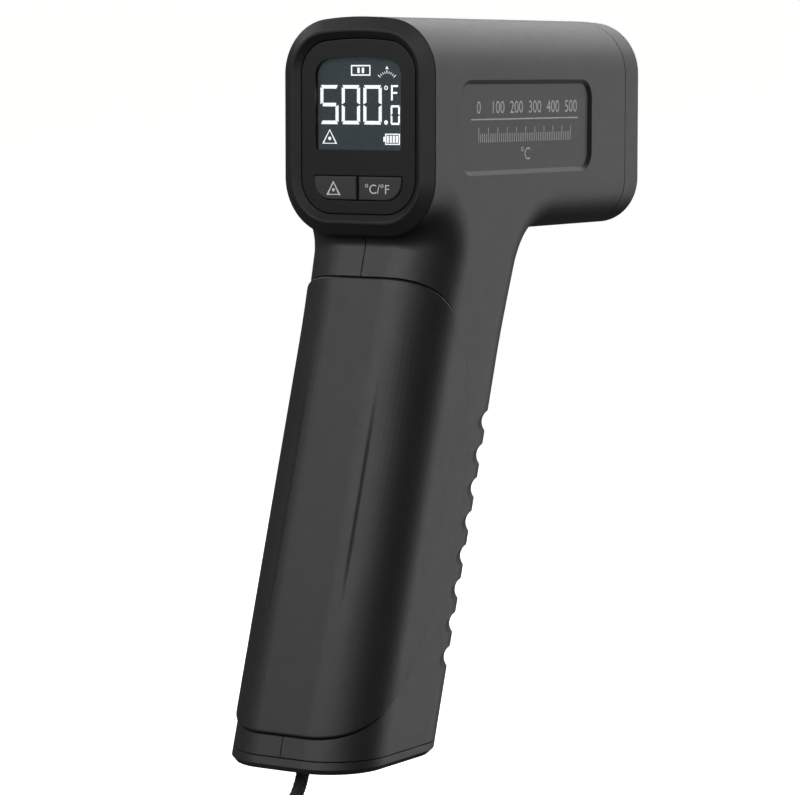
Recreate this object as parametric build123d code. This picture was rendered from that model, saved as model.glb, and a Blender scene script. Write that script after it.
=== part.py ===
from build123d import *
import os
from math import cos, pi, radians, sin, sqrt, tan

# Gun-type infrared thermometer with a wrist cord, every piece its own solid, in millimetres.
# The origin is on the grip's centre line at half its height. +X points to the muzzle, +Y to
# the user's left and +Z up. "Station" below means a distance forward of the display end, and
# "level" a height over the barrel's centre line.

# ---- Driving dimensions -----------------------------------------------------------------

# Housing skin
BARREL_AXIS = 85.0  # z of the barrel's centre line
BARREL_LENGTH = 86.9  # display end to the nozzle cap's seam
BARREL_WIDTH = 40.4
BARREL_TOP = 24.8  # over the centre line
BARREL_BOTTOM = 24.4  # under the centre line
TOP_BOW_RADIUS = 75.0  # the roof is slightly arched
TOP_CORNER = 12.5  # corner radius along the barrel's roof
REAR_CORNER = 13.0  # corner radius along the neck and the grip's back
FRONT_CORNER = 11.0  # corner radius along the barrel's underside, throat and grip's front
WALL = 2.2
SEAM_GAP = 0.2  # width of the parting lines as they show outside

# Grip
GRIP_LEAN = 17.4  # degrees that the grip leans back from upright
GRIP_DEPTH = 42.5  # front to back, measured level
GRIP_WIDTH = 38.0
GRIP_BOTTOM = -53.1  # z of the base cap's seam
NECK_STATION = 3.14  # where the line of the grip's back meets the barrel's underside
THROAT_RADIUS = 13.0
NECK_RADIUS = 2.0
BLEND_TOP_LEVEL = -14.0  # where the sides start to draw in from barrel width to grip width
BLEND_BOTTOM_LEVEL = -52.0  # where they have reached grip width
RIB_COUNT = 8
RIB_PITCH = 7.49  # vertical distance between finger grooves
RIB_TOP_LEVEL = -67.9  # level of the first groove
RIB_DEPTH = 1.1
RIB_RADIUS = 3.4
RIB_FADE = 22.0  # degrees that a groove's ends turn away from the flanks
RIB_REACH = 20.0  # how far behind the front those ends run

# Base cap
BASE_HEIGHT = 3.0
BASE_CHAMFER = 1.2
PLUG_HEIGHT = 2.0  # rim that stands up inside the grip
PLUG_CLEARANCE = 0.15

# Side pockets, one on each side of the barrel
POCKET_START = 10.5  # station
POCKET_LENGTH = 60.0
POCKET_HEIGHT = 21.6
POCKET_LEVEL = -0.2
POCKET_CORNER = 4.5
POCKET_DEPTH = 0.7
POCKET_SLOPE = 55.0  # degrees that its walls lean outwards

# Nozzle cap and the two openings in it
NOZZLE_LENGTH = 7.8
NOZZLE_EDGE = 1.6
NOZZLE_WALL = 3.0
SKIRT_LENGTH = 3.0
SKIRT_WALL = 1.5
APERTURE_RADIUS = 10.0
APERTURE_LEVEL = 3.5
APERTURE_COLLAR = 1.4
APERTURE_CHAMFER = 0.6
LASER_LEVEL = -14.5
LASER_HOLE_RADIUS = 3.0

# Display end
BEZEL_RISE = 2.0  # crest of the bezel's ring behind the housing's end
BEZEL_SLOPE = 2.8  # width of the sloped band outside the crest
CREST_WIDTH = 0.5
INNER_SLOPE = 1.5  # width of the sloped band between the crest and the plate
PLATE_SETBACK = 1.3  # plate's face below the crest
PLATE_THICKNESS = 1.2
FLOOR_THICKNESS = 1.2  # bezel's floor behind the plate
BEZEL_SKIRT = 6.0  # depth of its skirt inside the housing
PLATE_CLEARANCE = 0.25
WINDOW_WIDTH = 23.0
WINDOW_LOW = -5.0  # level
WINDOW_HIGH = 15.7
WINDOW_CORNER = 3.8
WINDOW_BOW = 0.9
WINDOW_CLEARANCE = 0.05
KEY_LOW = -16.3  # level
KEY_HIGH = -11.0
KEY_HALF_WIDTH = 11.7
KEY_GAP = 0.7
KEY_CORNER = 4.2
KEY_TRAVEL = 0.5
KEY_PROUD = 0.3
KEY_CLEARANCE = 0.2
KEY_FLANGE = 0.7
BOARD_STATION = 7.4
BOARD_THICKNESS = 1.6
BOARD_CLEARANCE = 0.4

# Sensor and laser
TUBE_RADIUS = 9.5
TUBE_BORE = 8.0
TUBE_START = 40.0  # station
TUBE_END = 86.4
LENS_THICKNESS = 2.4
LENS_RING_LENGTH = 1.8
THERMOPILE_RADIUS = 4.1
THERMOPILE_LENGTH = 4.6
LASER_RADIUS = 3.2
LASER_START = 66.0  # station
LASER_END = 86.0
CRADLE_STATIONS = (50.0, 68.0, 80.0)
CRADLE_LOW_LEVEL = -18.5
CRADLE_THICKNESS = 2.0
WIRE_PASSAGE = 2.6  # radius of the wires' way through the rear cradle
HOLD_CLEARANCE = 0.1

# Trigger, set back by these distances from the line of the grip's front
TRIGGER_WIDTH = 13.6
TRIGGER_SIDE_CLEARANCE = 0.6
TRIGGER_FACE = ((0.04, -34.6), (2.74, -46.0), (4.04, -59.0))  # setback, level
TRIGGER_HEEL = ((7.14, -61.0), (11.24, -58.5), (11.24, -34.0))  # setback, level
TRIGGER_PIVOT_SETBACK = 9.64
TRIGGER_PIVOT_LEVEL = -34.5
TRIGGER_HUB_RADIUS = 3.0
PIN_BOSS_RADIUS = 3.2
WEB_GAP = 12.4  # between the trigger's rear and the web behind it
WEB_THICKNESS = 2.0
PIN_RADIUS = 1.25
PIN_RUNNING = 0.05
PIN_SEAT = 0.02

# Battery cover and bay, in the grip's leaning frame
COVER_THICKNESS = 2.2
COVER_PROUD = 0.6
COVER_CLEARANCE = 0.25
COVER_EDGE_RADIUS = 0.5  # rounding of its rim
RECESS_WALL = 1.8
CELL_DIAMETER = 10.5
CELL_LENGTH = 44.5
CELL_CLEARANCE = 0.35
CELL_CENTRE = -3.0  # height of the cells' middle along the grip
SPRING_ROOM = 4.6
TRAY_WALL = 1.2

# Housing screws
SCREW_RADIUS = 1.15
SCREW_HEAD_RADIUS = 2.1
SCREW_HEAD_HEIGHT = 1.6
SCREW_SLOT_WIDTH = 0.6
SCREW_SLOT_DEPTH = 0.7
SCREW_LENGTH = 9.0
SCREW_CLEARANCE = 0.2  # round the shank where it passes through
HEAD_CLEARANCE = 0.3
SCREW_END_ROOM = 0.4  # left under the screws' tips
BOSS_RADIUS = 3.0

# Wrist cord
CORD_DIAMETER = 3.0
CORD_EXIT = (-22.5, 0.0)  # station, y
CORD_BOSS = 1.5  # thickening of the base round the cord's hole
CORD_HOLE_CLEARANCE = 0.3
KNOT_RADIUS = 3.4
FERRULE_LENGTH = 10.0
FERRULE_WALL = 1.3

# ---- Values worked out from them ----------------------------------------------------------

LEAN = tan(radians(GRIP_LEAN))
GRIP_TOP = BARREL_AXIS - BARREL_BOTTOM
BASE_FOOT = GRIP_BOTTOM - BASE_HEIGHT
BARREL_REAR = GRIP_TOP * LEAN - GRIP_DEPTH / 2 - NECK_STATION  # x of the display end
NOZZLE_SEAM = BARREL_REAR + BARREL_LENGTH
FRONT_STATION = NECK_STATION + GRIP_DEPTH  # the line of the grip's front at the barrel
TRIGGER_PIVOT = (FRONT_STATION - TRIGGER_PIVOT_SETBACK, TRIGGER_PIVOT_LEVEL)
TRIGGER_BACK = FRONT_STATION - TRIGGER_HEEL[-1][0]
WEB_STATIONS = (TRIGGER_BACK - WEB_GAP - WEB_THICKNESS, TRIGGER_BACK - WEB_GAP)
HALF_DEPTH = GRIP_DEPTH / 2 * cos(radians(GRIP_LEAN))  # square to the grip's line
SIDE = Plane.XZ
GRIP = Plane(
    origin=(0, 0, 0),
    x_dir=(cos(radians(GRIP_LEAN)), 0, -sin(radians(GRIP_LEAN))),
    z_dir=(sin(radians(GRIP_LEAN)), 0, cos(radians(GRIP_LEAN))),
)
CELL_PITCH = CELL_DIAMETER + CELL_CLEARANCE
BAY_WIDTH = 2 * CELL_DIAMETER + 3 * CELL_CLEARANCE
BAY_LENGTH = CELL_LENGTH + SPRING_ROOM
BAY_DEPTH = CELL_DIAMETER + CELL_CLEARANCE


def station(distance, level=0.0, y=0.0):
    """Point at a distance forward of the display end and a level over the barrel's line."""
    return Vector(BARREL_REAR + distance, y, BARREL_AXIS + level)


def across(distance, level=0.0, y=0.0):
    """Plane square to the barrel at a station, its x to the user's left and its y up."""
    return Plane(origin=station(distance, level, y), x_dir=(0, 1, 0), z_dir=(1, 0, 0))


def rod(distance, length, radius, level=0.0, y=0.0):
    """Cylinder along the barrel from one station forward."""
    return extrude(across(distance, level, y) * Circle(radius), length)


def crossbar(x, z, radius, y_low, y_high):
    """Cylinder across the object between two y values."""
    plane = Plane(origin=(x, y_low, z), x_dir=(1, 0, 0), z_dir=(0, 1, 0))
    return extrude(plane * Circle(radius), y_high - y_low)


def block(low, high):
    """Box between two corners."""
    size = [b - a for a, b in zip(low, high)]
    return Pos(*low) * Box(*size, align=(Align.MIN, Align.MIN, Align.MIN))


def slab(outline, half_width):
    """Prism across the object on an outline in the XZ plane."""
    return extrude(SIDE * outline, half_width, both=True)


def barrel_outline(inset=0.0, low_corner=REAR_CORNER):
    """Barrel section, x to the left and y up, drawn in from the skin by an inset."""
    half = BARREL_WIDTH / 2 - inset
    top = BARREL_TOP - inset
    shoulder = top - half**2 / (2 * TOP_BOW_RADIUS)
    bottom = inset - BARREL_BOTTOM
    walls = Polyline((-half, shoulder), (-half, bottom), (half, bottom), (half, shoulder))
    roof = ThreePointArc((half, shoulder), (0, top), (-half, shoulder))
    outline = make_face([walls, roof])
    corners = outline.vertices().sort_by(Axis.Y)
    outline = fillet(corners[:2], low_corner - inset)
    return fillet(outline.vertices().sort_by(Axis.Y)[-2:], TOP_CORNER - inset)


def gun_outline(inset):
    """Gun profile in the XZ plane from the display end to the nozzle's seam."""
    under = GRIP_TOP + inset
    front = GRIP_DEPTH / 2 - inset
    back = inset - GRIP_DEPTH / 2
    throat = FilletPolyline(
        (NOZZLE_SEAM, under),
        (front + under * LEAN, under),
        (front + GRIP_BOTTOM * LEAN, GRIP_BOTTOM),
        radius=THROAT_RADIUS - inset,
    )
    neck = FilletPolyline(
        (back + GRIP_BOTTOM * LEAN, GRIP_BOTTOM),
        (back + under * LEAN, under),
        (BARREL_REAR, under),
        radius=NECK_RADIUS,
    )
    top = BARREL_AXIS + BARREL_TOP + 1
    rest = Polyline(neck @ 1, (BARREL_REAR, top), (NOZZLE_SEAM, top), throat @ 0)
    return make_face([throat, Line(throat @ 1, neck @ 0), neck, rest])


def front_outline(inset, foot):
    """Front view of the skin: arched roof, barrel width above and grip width below."""
    wide = BARREL_WIDTH / 2 - inset
    slim = GRIP_WIDTH / 2 - inset
    roof = BARREL_AXIS + BARREL_TOP - inset
    shoulder = roof - wide**2 / (2 * TOP_BOW_RADIUS)
    blend_top = BARREL_AXIS + BLEND_TOP_LEVEL
    blend_foot = BARREL_AXIS + BLEND_BOTTOM_LEVEL
    down, up = (0, -1), (0, 1)
    return make_face(
        [
            Line((-wide, blend_top), (-wide, shoulder)),
            ThreePointArc((-wide, shoulder), (0, roof), (wide, shoulder)),
            Line((wide, shoulder), (wide, blend_top)),
            Spline((wide, blend_top), (slim, blend_foot), tangents=[down, down]),
            Polyline((slim, blend_foot), (slim, foot), (-slim, foot), (-slim, blend_foot)),
            Spline((-slim, blend_foot), (-wide, blend_top), tangents=[up, up]),
        ]
    )


def rounded(profile, inset, foot, ceiling):
    """Profile made solid to the skin's width, with its lengthwise corners rounded."""
    sides = extrude(across(-200, -BARREL_AXIS) * front_outline(inset, foot), 400)
    body = slab(profile, BARREL_WIDTH) & sides

    def rims(shape, where):
        found = []
        for edge in shape.edges():
            middle = edge.center()
            on_side = abs(middle.Y) > GRIP_WIDTH / 2 - inset - 0.5
            lengthwise = edge.bounding_box().size.X > 0.2
            if on_side and lengthwise and foot + 0.01 < middle.Z < ceiling - 0.01:
                low = "front" if middle.X > middle.Z * LEAN else "back"
                place = "roof" if middle.Z > BARREL_AXIS else low
                if place == where and not BARREL_AXIS - 20 < middle.Z < BARREL_AXIS:
                    found.append(edge)
        return found

    for where, corner in (("front", FRONT_CORNER), ("back", REAR_CORNER), ("roof", TOP_CORNER)):
        edges = rims(body, where)
        if edges:
            body = fillet(edges, corner - inset)
    return body


def gun_body(inset=0.0):
    """Barrel and grip in one, at the skin or drawn in from it."""
    return rounded(gun_outline(inset), inset, GRIP_BOTTOM, BARREL_AXIS + BARREL_TOP + 2)


def grip_body(inset, foot, top):
    """Grip alone between two heights, at the skin or drawn in from it."""
    front = GRIP_DEPTH / 2 - inset
    profile = make_face(
        Polyline(
            (front + top * LEAN, top),
            (front + foot * LEAN, foot),
            (-front + foot * LEAN, foot),
            (-front + top * LEAN, top),
            close=True,
        )
    )
    return rounded(profile, inset, foot, top)


# ---- Battery cover's area -----------------------------------------------------------------

COVER_EDGE = (  # forward of the grip's back, and z, running past the back at both ends
    (-8.0, 51.6),
    (1.0, 50.8),
    (11.0, 44.0),
    (20.5, 31.0),
    (25.8, 15.0),
    (28.0, -9.0),
    (21.0, -29.0),
    (10.5, -43.0),
    (0.5, -48.3),
    (-8.0, -49.0),
)
COVER_RECESS = COVER_THICKNESS - COVER_PROUD + COVER_CLEARANCE
COVER_CEILING = 54.0
TRAY_HALF_WIDTH = BAY_WIDTH / 2 + TRAY_WALL
RECESS_CORNER = REAR_CORNER - COVER_RECESS - RECESS_WALL
CORNER_REACH = max(0.0, TRAY_HALF_WIDTH - (GRIP_WIDTH / 2 - REAR_CORNER))
CORNER_SAG = RECESS_CORNER - sqrt(RECESS_CORNER**2 - CORNER_REACH**2)
TRAY_RIM = -HALF_DEPTH + COVER_RECESS + RECESS_WALL + CORNER_SAG + HOLD_CLEARANCE
TRAY_TOP = CELL_CENTRE + BAY_LENGTH / 2 + TRAY_WALL
CELL_X = TRAY_RIM + CELL_DIAMETER / 2 + CELL_CLEARANCE / 2


def cover_area(growth=0.0):
    """Prism through the grip that the cover fills, seen from the side, widened by a growth."""
    points = []
    for forward, z in COVER_EDGE:
        shift = growth if z > 0 else -growth
        level = z + shift * abs(z) / COVER_EDGE[0][1]
        points.append((forward + growth - GRIP_DEPTH / 2 + level * LEAN, level))
    top, foot = points[0], points[-1]
    outside = -GRIP_DEPTH
    edge = Spline(*points)
    close = Polyline(foot, (outside, foot[1]), (outside, top[1]), top)
    return slab(make_face([edge, close]), BARREL_WIDTH)


def battery_cover():
    """Wrap-round cover on the grip's back, lifted off rearwards, with a catch at its foot."""
    low, high = GRIP_BOTTOM + 1, COVER_CEILING
    core = grip_body(COVER_THICKNESS - COVER_PROUD, low, high)
    cover = (grip_body(-COVER_PROUD, low, high) - core) & cover_area()
    rim = []
    for wall in cover.faces().filter_by(GeomType.EXTRUSION):
        for edge in wall.edges():
            if core.distance_to(Vertex(*(edge @ 0.5))) > 0.9 * COVER_THICKNESS:
                rim.append(edge)
    return fillet(rim, COVER_EDGE_RADIUS)


# ---- Housing halves -----------------------------------------------------------------------

SCREWS = ((16.0, -17.5), (60.0, -19.4), (20.0, -82.0), (5.5, -127.0))  # station, level
SCREW_SEAT = 5.0  # y of the faces that the heads sit on
WEB_LEVELS = (-62.0, -38.0)
PIN_BOSS_INNER = TRIGGER_WIDTH / 2 + TRIGGER_SIDE_CLEARANCE
PIN_REACH = PIN_BOSS_INNER + 4.2
SLOT_LEVELS = (-62.6, -33.0)


def side_pocket(side):
    """Shallow recess with sloping walls on one flank of the barrel."""
    middle = station(POCKET_START + POCKET_LENGTH / 2, POCKET_LEVEL, side * BARREL_WIDTH / 2)
    plane = Plane(origin=middle, x_dir=(-side, 0, 0), z_dir=(0, -side, 0))
    outline = RectangleRounded(POCKET_LENGTH, POCKET_HEIGHT, POCKET_CORNER)
    return extrude(plane * outline, POCKET_DEPTH, taper=POCKET_SLOPE)


def finger_groove(z):
    """Round groove across the grip's front and its corners at one height."""
    proud = RIB_RADIUS - RIB_DEPTH
    corner = FRONT_CORNER + proud
    front = GRIP_DEPTH / 2 + z * LEAN + proud
    half = GRIP_WIDTH / 2 - FRONT_CORNER + corner * tan(radians(90 - RIB_FADE) / 2)
    back = front - RIB_REACH
    out = half + RIB_REACH * tan(radians(RIB_FADE))
    points = ((back, -out, z), (front, -half, z), (front, half, z), (back, out, z))
    return round_tube(FilletPolyline(*points, radius=corner), RIB_RADIUS)


def housing():
    """Both halves' material before it is parted, with its ribs, webs and bosses."""
    skin = gun_body()
    hollow = gun_body(WALL)
    inner = grip_body(COVER_RECESS + RECESS_WALL, GRIP_BOTTOM, COVER_CEILING)
    seat = cover_area(COVER_CLEARANCE) - grip_body(COVER_RECESS, GRIP_BOTTOM, COVER_CEILING)
    cavity = (hollow - cover_area(COVER_CLEARANCE + WALL)) + inner
    body = skin - cavity - seat

    inside = []
    for distance in CRADLE_STATIONS:
        plate = extrude(across(distance) * barrel_outline(WALL - 0.2), CRADLE_THICKNESS)
        low = station(distance - 1, CRADLE_LOW_LEVEL, -BARREL_WIDTH)
        high = station(distance + 5, BARREL_TOP + 1, BARREL_WIDTH)
        inside.append(plate & block(low, high))
    web_low = station(WEB_STATIONS[0], WEB_LEVELS[0], -BARREL_WIDTH)
    web_high = station(WEB_STATIONS[1], WEB_LEVELS[1], BARREL_WIDTH)
    inside.append(block(web_low, web_high) & skin)
    for distance, level in SCREWS:
        place = station(distance, level)
        inside.append(crossbar(place.X, place.Z, BOSS_RADIUS, -BARREL_WIDTH, BARREL_WIDTH) & skin)
    pivot = station(*TRIGGER_PIVOT)
    for low, high in ((-BARREL_WIDTH, -PIN_BOSS_INNER), (PIN_BOSS_INNER, BARREL_WIDTH)):
        inside.append(crossbar(pivot.X, pivot.Z, PIN_BOSS_RADIUS, low, high) & skin)
    inside = [piece & gun_body(WALL / 2) for piece in inside]

    seam = block((-200, -SEAM_GAP / 2, -200), (200, SEAM_GAP / 2, 200))
    body = (body - seam).fuse(*inside)

    for index in range(RIB_COUNT):
        body -= finger_groove(BARREL_AXIS + RIB_TOP_LEVEL - index * RIB_PITCH)
    body -= [side_pocket(1), side_pocket(-1)]
    body -= rod(TUBE_START, TUBE_END, TUBE_RADIUS + HOLD_CLEARANCE, APERTURE_LEVEL)
    body -= rod(LASER_START - 2, LASER_END, LASER_RADIUS + HOLD_CLEARANCE, LASER_LEVEL)
    body -= rod(CRADLE_STATIONS[0] - 1, CRADLE_THICKNESS + 2, WIRE_PASSAGE, LASER_LEVEL)
    slot_half = TRIGGER_WIDTH / 2 + TRIGGER_SIDE_CLEARANCE
    slot_low = station(TRIGGER_PIVOT[0] - 6, SLOT_LEVELS[0], -slot_half)
    body -= block(slot_low, station(BARREL_LENGTH, SLOT_LEVELS[1], slot_half))
    pin_hole = PIN_RADIUS + PIN_SEAT
    body -= crossbar(pivot.X, pivot.Z, pin_hole, -PIN_REACH, PIN_REACH)
    window = Box(40, BAY_WIDTH, BAY_LENGTH, align=(Align.MAX, Align.CENTER, Align.CENTER))
    body -= GRIP * Pos(TRAY_RIM, 0, CELL_CENTRE) * window
    for distance, level in SCREWS:
        place = station(distance, level)
        x, z = place.X, place.Z
        body -= crossbar(x, z, SCREW_HEAD_RADIUS + HEAD_CLEARANCE, SCREW_SEAT, BARREL_WIDTH)
        body -= crossbar(x, z, SCREW_RADIUS + SCREW_CLEARANCE, 0, SCREW_SEAT)
        body -= crossbar(x, z, SCREW_RADIUS, SCREW_SEAT - SCREW_LENGTH - SCREW_END_ROOM, 0)
    return body


def housing_half(body, side):
    """One half of the parted housing, side being 1 for left and -1 for right."""
    far = side * 100
    half = body & block((-200, min(0, far), -200), (200, max(0, far), 200))
    return max(half.solids(), key=lambda solid: solid.volume)


def housing_screws():
    """Self-tapping screws from the left half into the right."""
    screws = []
    top = SCREW_SEAT + SCREW_HEAD_HEIGHT
    half_slot = SCREW_SLOT_WIDTH / 2
    for distance, level in SCREWS:
        place = station(distance, level)
        x, z = place.X, place.Z
        head = crossbar(x, z, SCREW_HEAD_RADIUS, SCREW_SEAT, top)
        slot = block(
            (x - SCREW_HEAD_RADIUS, top - SCREW_SLOT_DEPTH, z - half_slot),
            (x + SCREW_HEAD_RADIUS, top, z + half_slot),
        )
        shank = crossbar(x, z, SCREW_RADIUS - PIN_SEAT, SCREW_SEAT - SCREW_LENGTH, SCREW_SEAT)
        screws.append(head + shank - slot)
    return screws


# ---- Display end --------------------------------------------------------------------------

CREST_INSET = BEZEL_SLOPE + CREST_WIDTH
PLATE_INSET = CREST_INSET + INNER_SLOPE
PLATE_FACE = PLATE_SETBACK - BEZEL_RISE
PLATE_BACK = PLATE_FACE + PLATE_THICKNESS
FLOOR_BACK = PLATE_BACK + FLOOR_THICKNESS
SKIRT_INSET = WALL + HOLD_CLEARANCE
LCD_HALF_WIDTH = WINDOW_WIDTH / 2 + 1.5
LCD_LOW = WINDOW_LOW - 1.4
LCD_HIGH = WINDOW_HIGH + 1.2
LCD_THICKNESS = 2.2
LIGHT_THICKNESS = 2.4
FRAME_WALL = 1.4
KEY_POST_END = 4.2
BOARD_POSTS = ((14.5, -9.9), (-14.5, -9.9))
POST_RADIUS = 1.6
POST_HOLE_DEPTH = 4.0
POST_SCREW_RADIUS = 0.75
POST_SCREW_HEAD = (1.5, 1.1)  # radius, height
KEY_SWITCH_HEIGHT = 2.0
KEY_SWITCH_HALF = 2.2  # half of its square case
KEY_STEM_RADIUS = 1.1


def window_outline(clearance=0.0):
    """Display opening with an arched top, its centre line at y 0."""
    half = WINDOW_WIDTH / 2 - clearance
    low = WINDOW_LOW + clearance
    high = WINDOW_HIGH - clearance
    walls = Polyline((-half, high - WINDOW_BOW), (-half, low), (half, low), (half, high - WINDOW_BOW))
    roof = ThreePointArc((half, high - WINDOW_BOW), (0, high), (-half, high - WINDOW_BOW))
    outline = make_face([walls, roof])
    outline = fillet(outline.vertices().sort_by(Axis.Y)[-2:], WINDOW_CORNER)
    return fillet(outline.vertices().sort_by(Axis.Y)[:2], 0.5)


def keys_outline(growth=0.0):
    """Both keys' outline together, with large outer lower corners."""
    half = KEY_HALF_WIDTH + growth
    low, high = KEY_LOW - growth, KEY_HIGH + growth
    outline = make_face(Polyline((-half, low), (half, low), (half, high), (-half, high), close=True))
    outline = fillet(outline.vertices().sort_by(Axis.Y)[:2], KEY_CORNER + growth)
    return fillet(outline.vertices().sort_by(Axis.Y)[-2:], 0.4)


def display_bezel():
    """End cap with a ridged ring, a ledge for the plate and a skirt inside the housing."""
    crest = across(-BEZEL_RISE)
    ring = loft([across(0) * barrel_outline().face(), crest * barrel_outline(BEZEL_SLOPE).face()])
    well = loft(
        [
            across(PLATE_FACE) * barrel_outline(PLATE_INSET).face(),
            crest * barrel_outline(CREST_INSET).face(),
        ]
    )
    floor = extrude(across(0) * barrel_outline(SKIRT_INSET), FLOOR_BACK)
    skirt = extrude(across(0) * barrel_outline(SKIRT_INSET), BEZEL_SKIRT)
    skirt -= extrude(across(0) * barrel_outline(SKIRT_INSET + SKIRT_WALL), BEZEL_SKIRT)
    pocket = extrude(across(PLATE_BACK) * barrel_outline(PLATE_INSET), PLATE_FACE - PLATE_BACK)
    lcd_low = station(0, LCD_LOW - 0.2, -LCD_HALF_WIDTH - 0.2)
    lcd_hole = block(lcd_low, station(FLOOR_BACK + 1, LCD_HIGH + 0.2, LCD_HALF_WIDTH + 0.2))
    key_hole = extrude(across(0) * keys_outline(KEY_CLEARANCE), FLOOR_BACK)
    bezel = ring + floor + skirt - well - pocket - lcd_hole - key_hole
    for y, level in BOARD_POSTS:
        bezel += rod(PLATE_BACK, BOARD_STATION - PLATE_BACK, POST_RADIUS, level, y)
        hole = POST_SCREW_RADIUS + PIN_SEAT
        bezel -= rod(BOARD_STATION - POST_HOLE_DEPTH, POST_HOLE_DEPTH, hole, level, y)
    return bezel


def display_plate():
    """Dark plate with openings for the window and the keys."""
    plate = extrude(
        across(PLATE_BACK) * barrel_outline(PLATE_INSET + PLATE_CLEARANCE), -PLATE_THICKNESS
    )
    plate -= extrude(across(PLATE_BACK) * window_outline(), -PLATE_THICKNESS)
    return plate - extrude(across(PLATE_BACK) * keys_outline(KEY_CLEARANCE), -PLATE_THICKNESS)


def display_window():
    """Clear pane flush in the plate."""
    return extrude(across(PLATE_BACK) * window_outline(WINDOW_CLEARANCE), -PLATE_THICKNESS)


def lcd_glass():
    """Liquid-crystal cell behind the pane."""
    low = station(PLATE_BACK + 0.1, LCD_LOW, -LCD_HALF_WIDTH)
    return block(low, station(PLATE_BACK + 0.1 + LCD_THICKNESS, LCD_HIGH, LCD_HALF_WIDTH))


def backlight():
    """Light guide behind the cell, over the contact strip."""
    start = PLATE_BACK + 0.2 + LCD_THICKNESS
    low = station(start, LCD_LOW + 2.6, -LCD_HALF_WIDTH)
    return block(low, station(start + LIGHT_THICKNESS, LCD_HIGH, LCD_HALF_WIDTH))


def lcd_contact_strip():
    """Rubber strip that joins the cell's lower edge to the board."""
    start = PLATE_BACK + 0.1 + LCD_THICKNESS
    low = station(start, LCD_LOW, -LCD_HALF_WIDTH + 1)
    return block(low, station(BOARD_STATION, LCD_LOW + 2.2, LCD_HALF_WIDTH - 1))


def lcd_frame():
    """Frame on the board that holds cell, light guide and strip."""
    half = LCD_HALF_WIDTH + 0.1
    outer_low = station(FLOOR_BACK + 0.1, LCD_LOW - 0.1 - FRAME_WALL, -half - FRAME_WALL)
    outer = block(outer_low, station(BOARD_STATION, LCD_HIGH + 0.1 + FRAME_WALL, half + FRAME_WALL))
    inner = block(station(0, LCD_LOW - 0.1, -half), station(BOARD_STATION + 1, LCD_HIGH + 0.1, half))
    room = barrel_outline(SKIRT_INSET + SKIRT_WALL + HOLD_CLEARANCE)
    return (outer - inner) & extrude(across(0) * room, BOARD_STATION)


def key_button(side):
    """One key with its retaining flange and the post that meets its switch."""
    low_y, high_y = sorted((side * KEY_GAP / 2, side * 40))
    lane = block(station(-10, -40, low_y), station(20, 0, high_y))
    start = PLATE_FACE - KEY_PROUD
    cap = extrude(across(start) * keys_outline(), FLOOR_BACK + 0.3 - start) & lane
    cap = chamfer(cap.faces().sort_by(Axis.X)[0].edges(), 0.2)
    flange_start = FLOOR_BACK + 0.2
    flange = extrude(across(flange_start) * keys_outline(KEY_FLANGE), 1.0) & lane
    middle = ((KEY_GAP / 2 + KEY_HALF_WIDTH) / 2 * side, (KEY_LOW + KEY_HIGH) / 2)
    post = rod(flange_start + 1.0, KEY_POST_END - flange_start - 1.0, 1.5, middle[1], middle[0])
    return cap + flange + post


def key_switches():
    """Two tactile switches on the board, a travel and a hair behind the keys' posts."""
    switches = []
    for side in (1, -1):
        y = (KEY_GAP / 2 + KEY_HALF_WIDTH) / 2 * side
        level = (KEY_LOW + KEY_HIGH) / 2
        face = BOARD_STATION - KEY_SWITCH_HEIGHT
        case = block(
            station(face, level - KEY_SWITCH_HALF, y - KEY_SWITCH_HALF),
            station(BOARD_STATION, level + KEY_SWITCH_HALF, y + KEY_SWITCH_HALF),
        )
        tip = KEY_POST_END + KEY_TRAVEL + HOLD_CLEARANCE
        switches.append(case + rod(tip, face - tip, KEY_STEM_RADIUS, level, y))
    return switches


def main_board():
    """Circuit board across the display end, screwed to the bezel's posts."""
    inset = SKIRT_INSET + SKIRT_WALL + BOARD_CLEARANCE
    board = extrude(across(BOARD_STATION) * barrel_outline(inset), BOARD_THICKNESS)
    for y, level in BOARD_POSTS:
        board -= rod(BOARD_STATION, BOARD_THICKNESS, POST_SCREW_RADIUS + 0.15, level, y)
    return board


def board_screws():
    """Small screws through the board into the bezel's posts."""
    radius, height = POST_SCREW_HEAD
    tip = BOARD_STATION - POST_HOLE_DEPTH + SCREW_END_ROOM
    back = BOARD_STATION + BOARD_THICKNESS
    screws = []
    for y, level in BOARD_POSTS:
        shank = rod(tip, back - tip, POST_SCREW_RADIUS, level, y)
        screws.append(rod(back, height, radius, level, y) + shank)
    return screws


def board_parts():
    """Processor, amplifier, coil and capacitors on the board's inner face."""
    face = BOARD_STATION + BOARD_THICKNESS
    sizes = (
        (0.0, 3.0, 9.0, 9.0, 1.4),
        (-9.0, 8.0, 5.0, 4.0, 1.5),
        (9.0, 9.0, 4.0, 3.0, 2.4),
        (9.5, -2.0, 3.2, 5.0, 1.2),
        (-9.5, -3.0, 3.2, 3.2, 1.8),
    )
    parts = []
    for y, level, wide, high, thick in sizes:
        low = station(face, level - high / 2, y - wide / 2)
        parts.append(block(low, station(face + thick, level + high / 2, y + wide / 2)))
    return parts


def buzzer():
    """Round sounder on the board's inner face."""
    face = BOARD_STATION + BOARD_THICKNESS
    return rod(face, 3.6, 4.5, -14.0, 0.0) - rod(face + 2.6, 1.0, 0.8, -14.0, 0.0)


# ---- Nozzle, sensor and laser --------------------------------------------------------------

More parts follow.
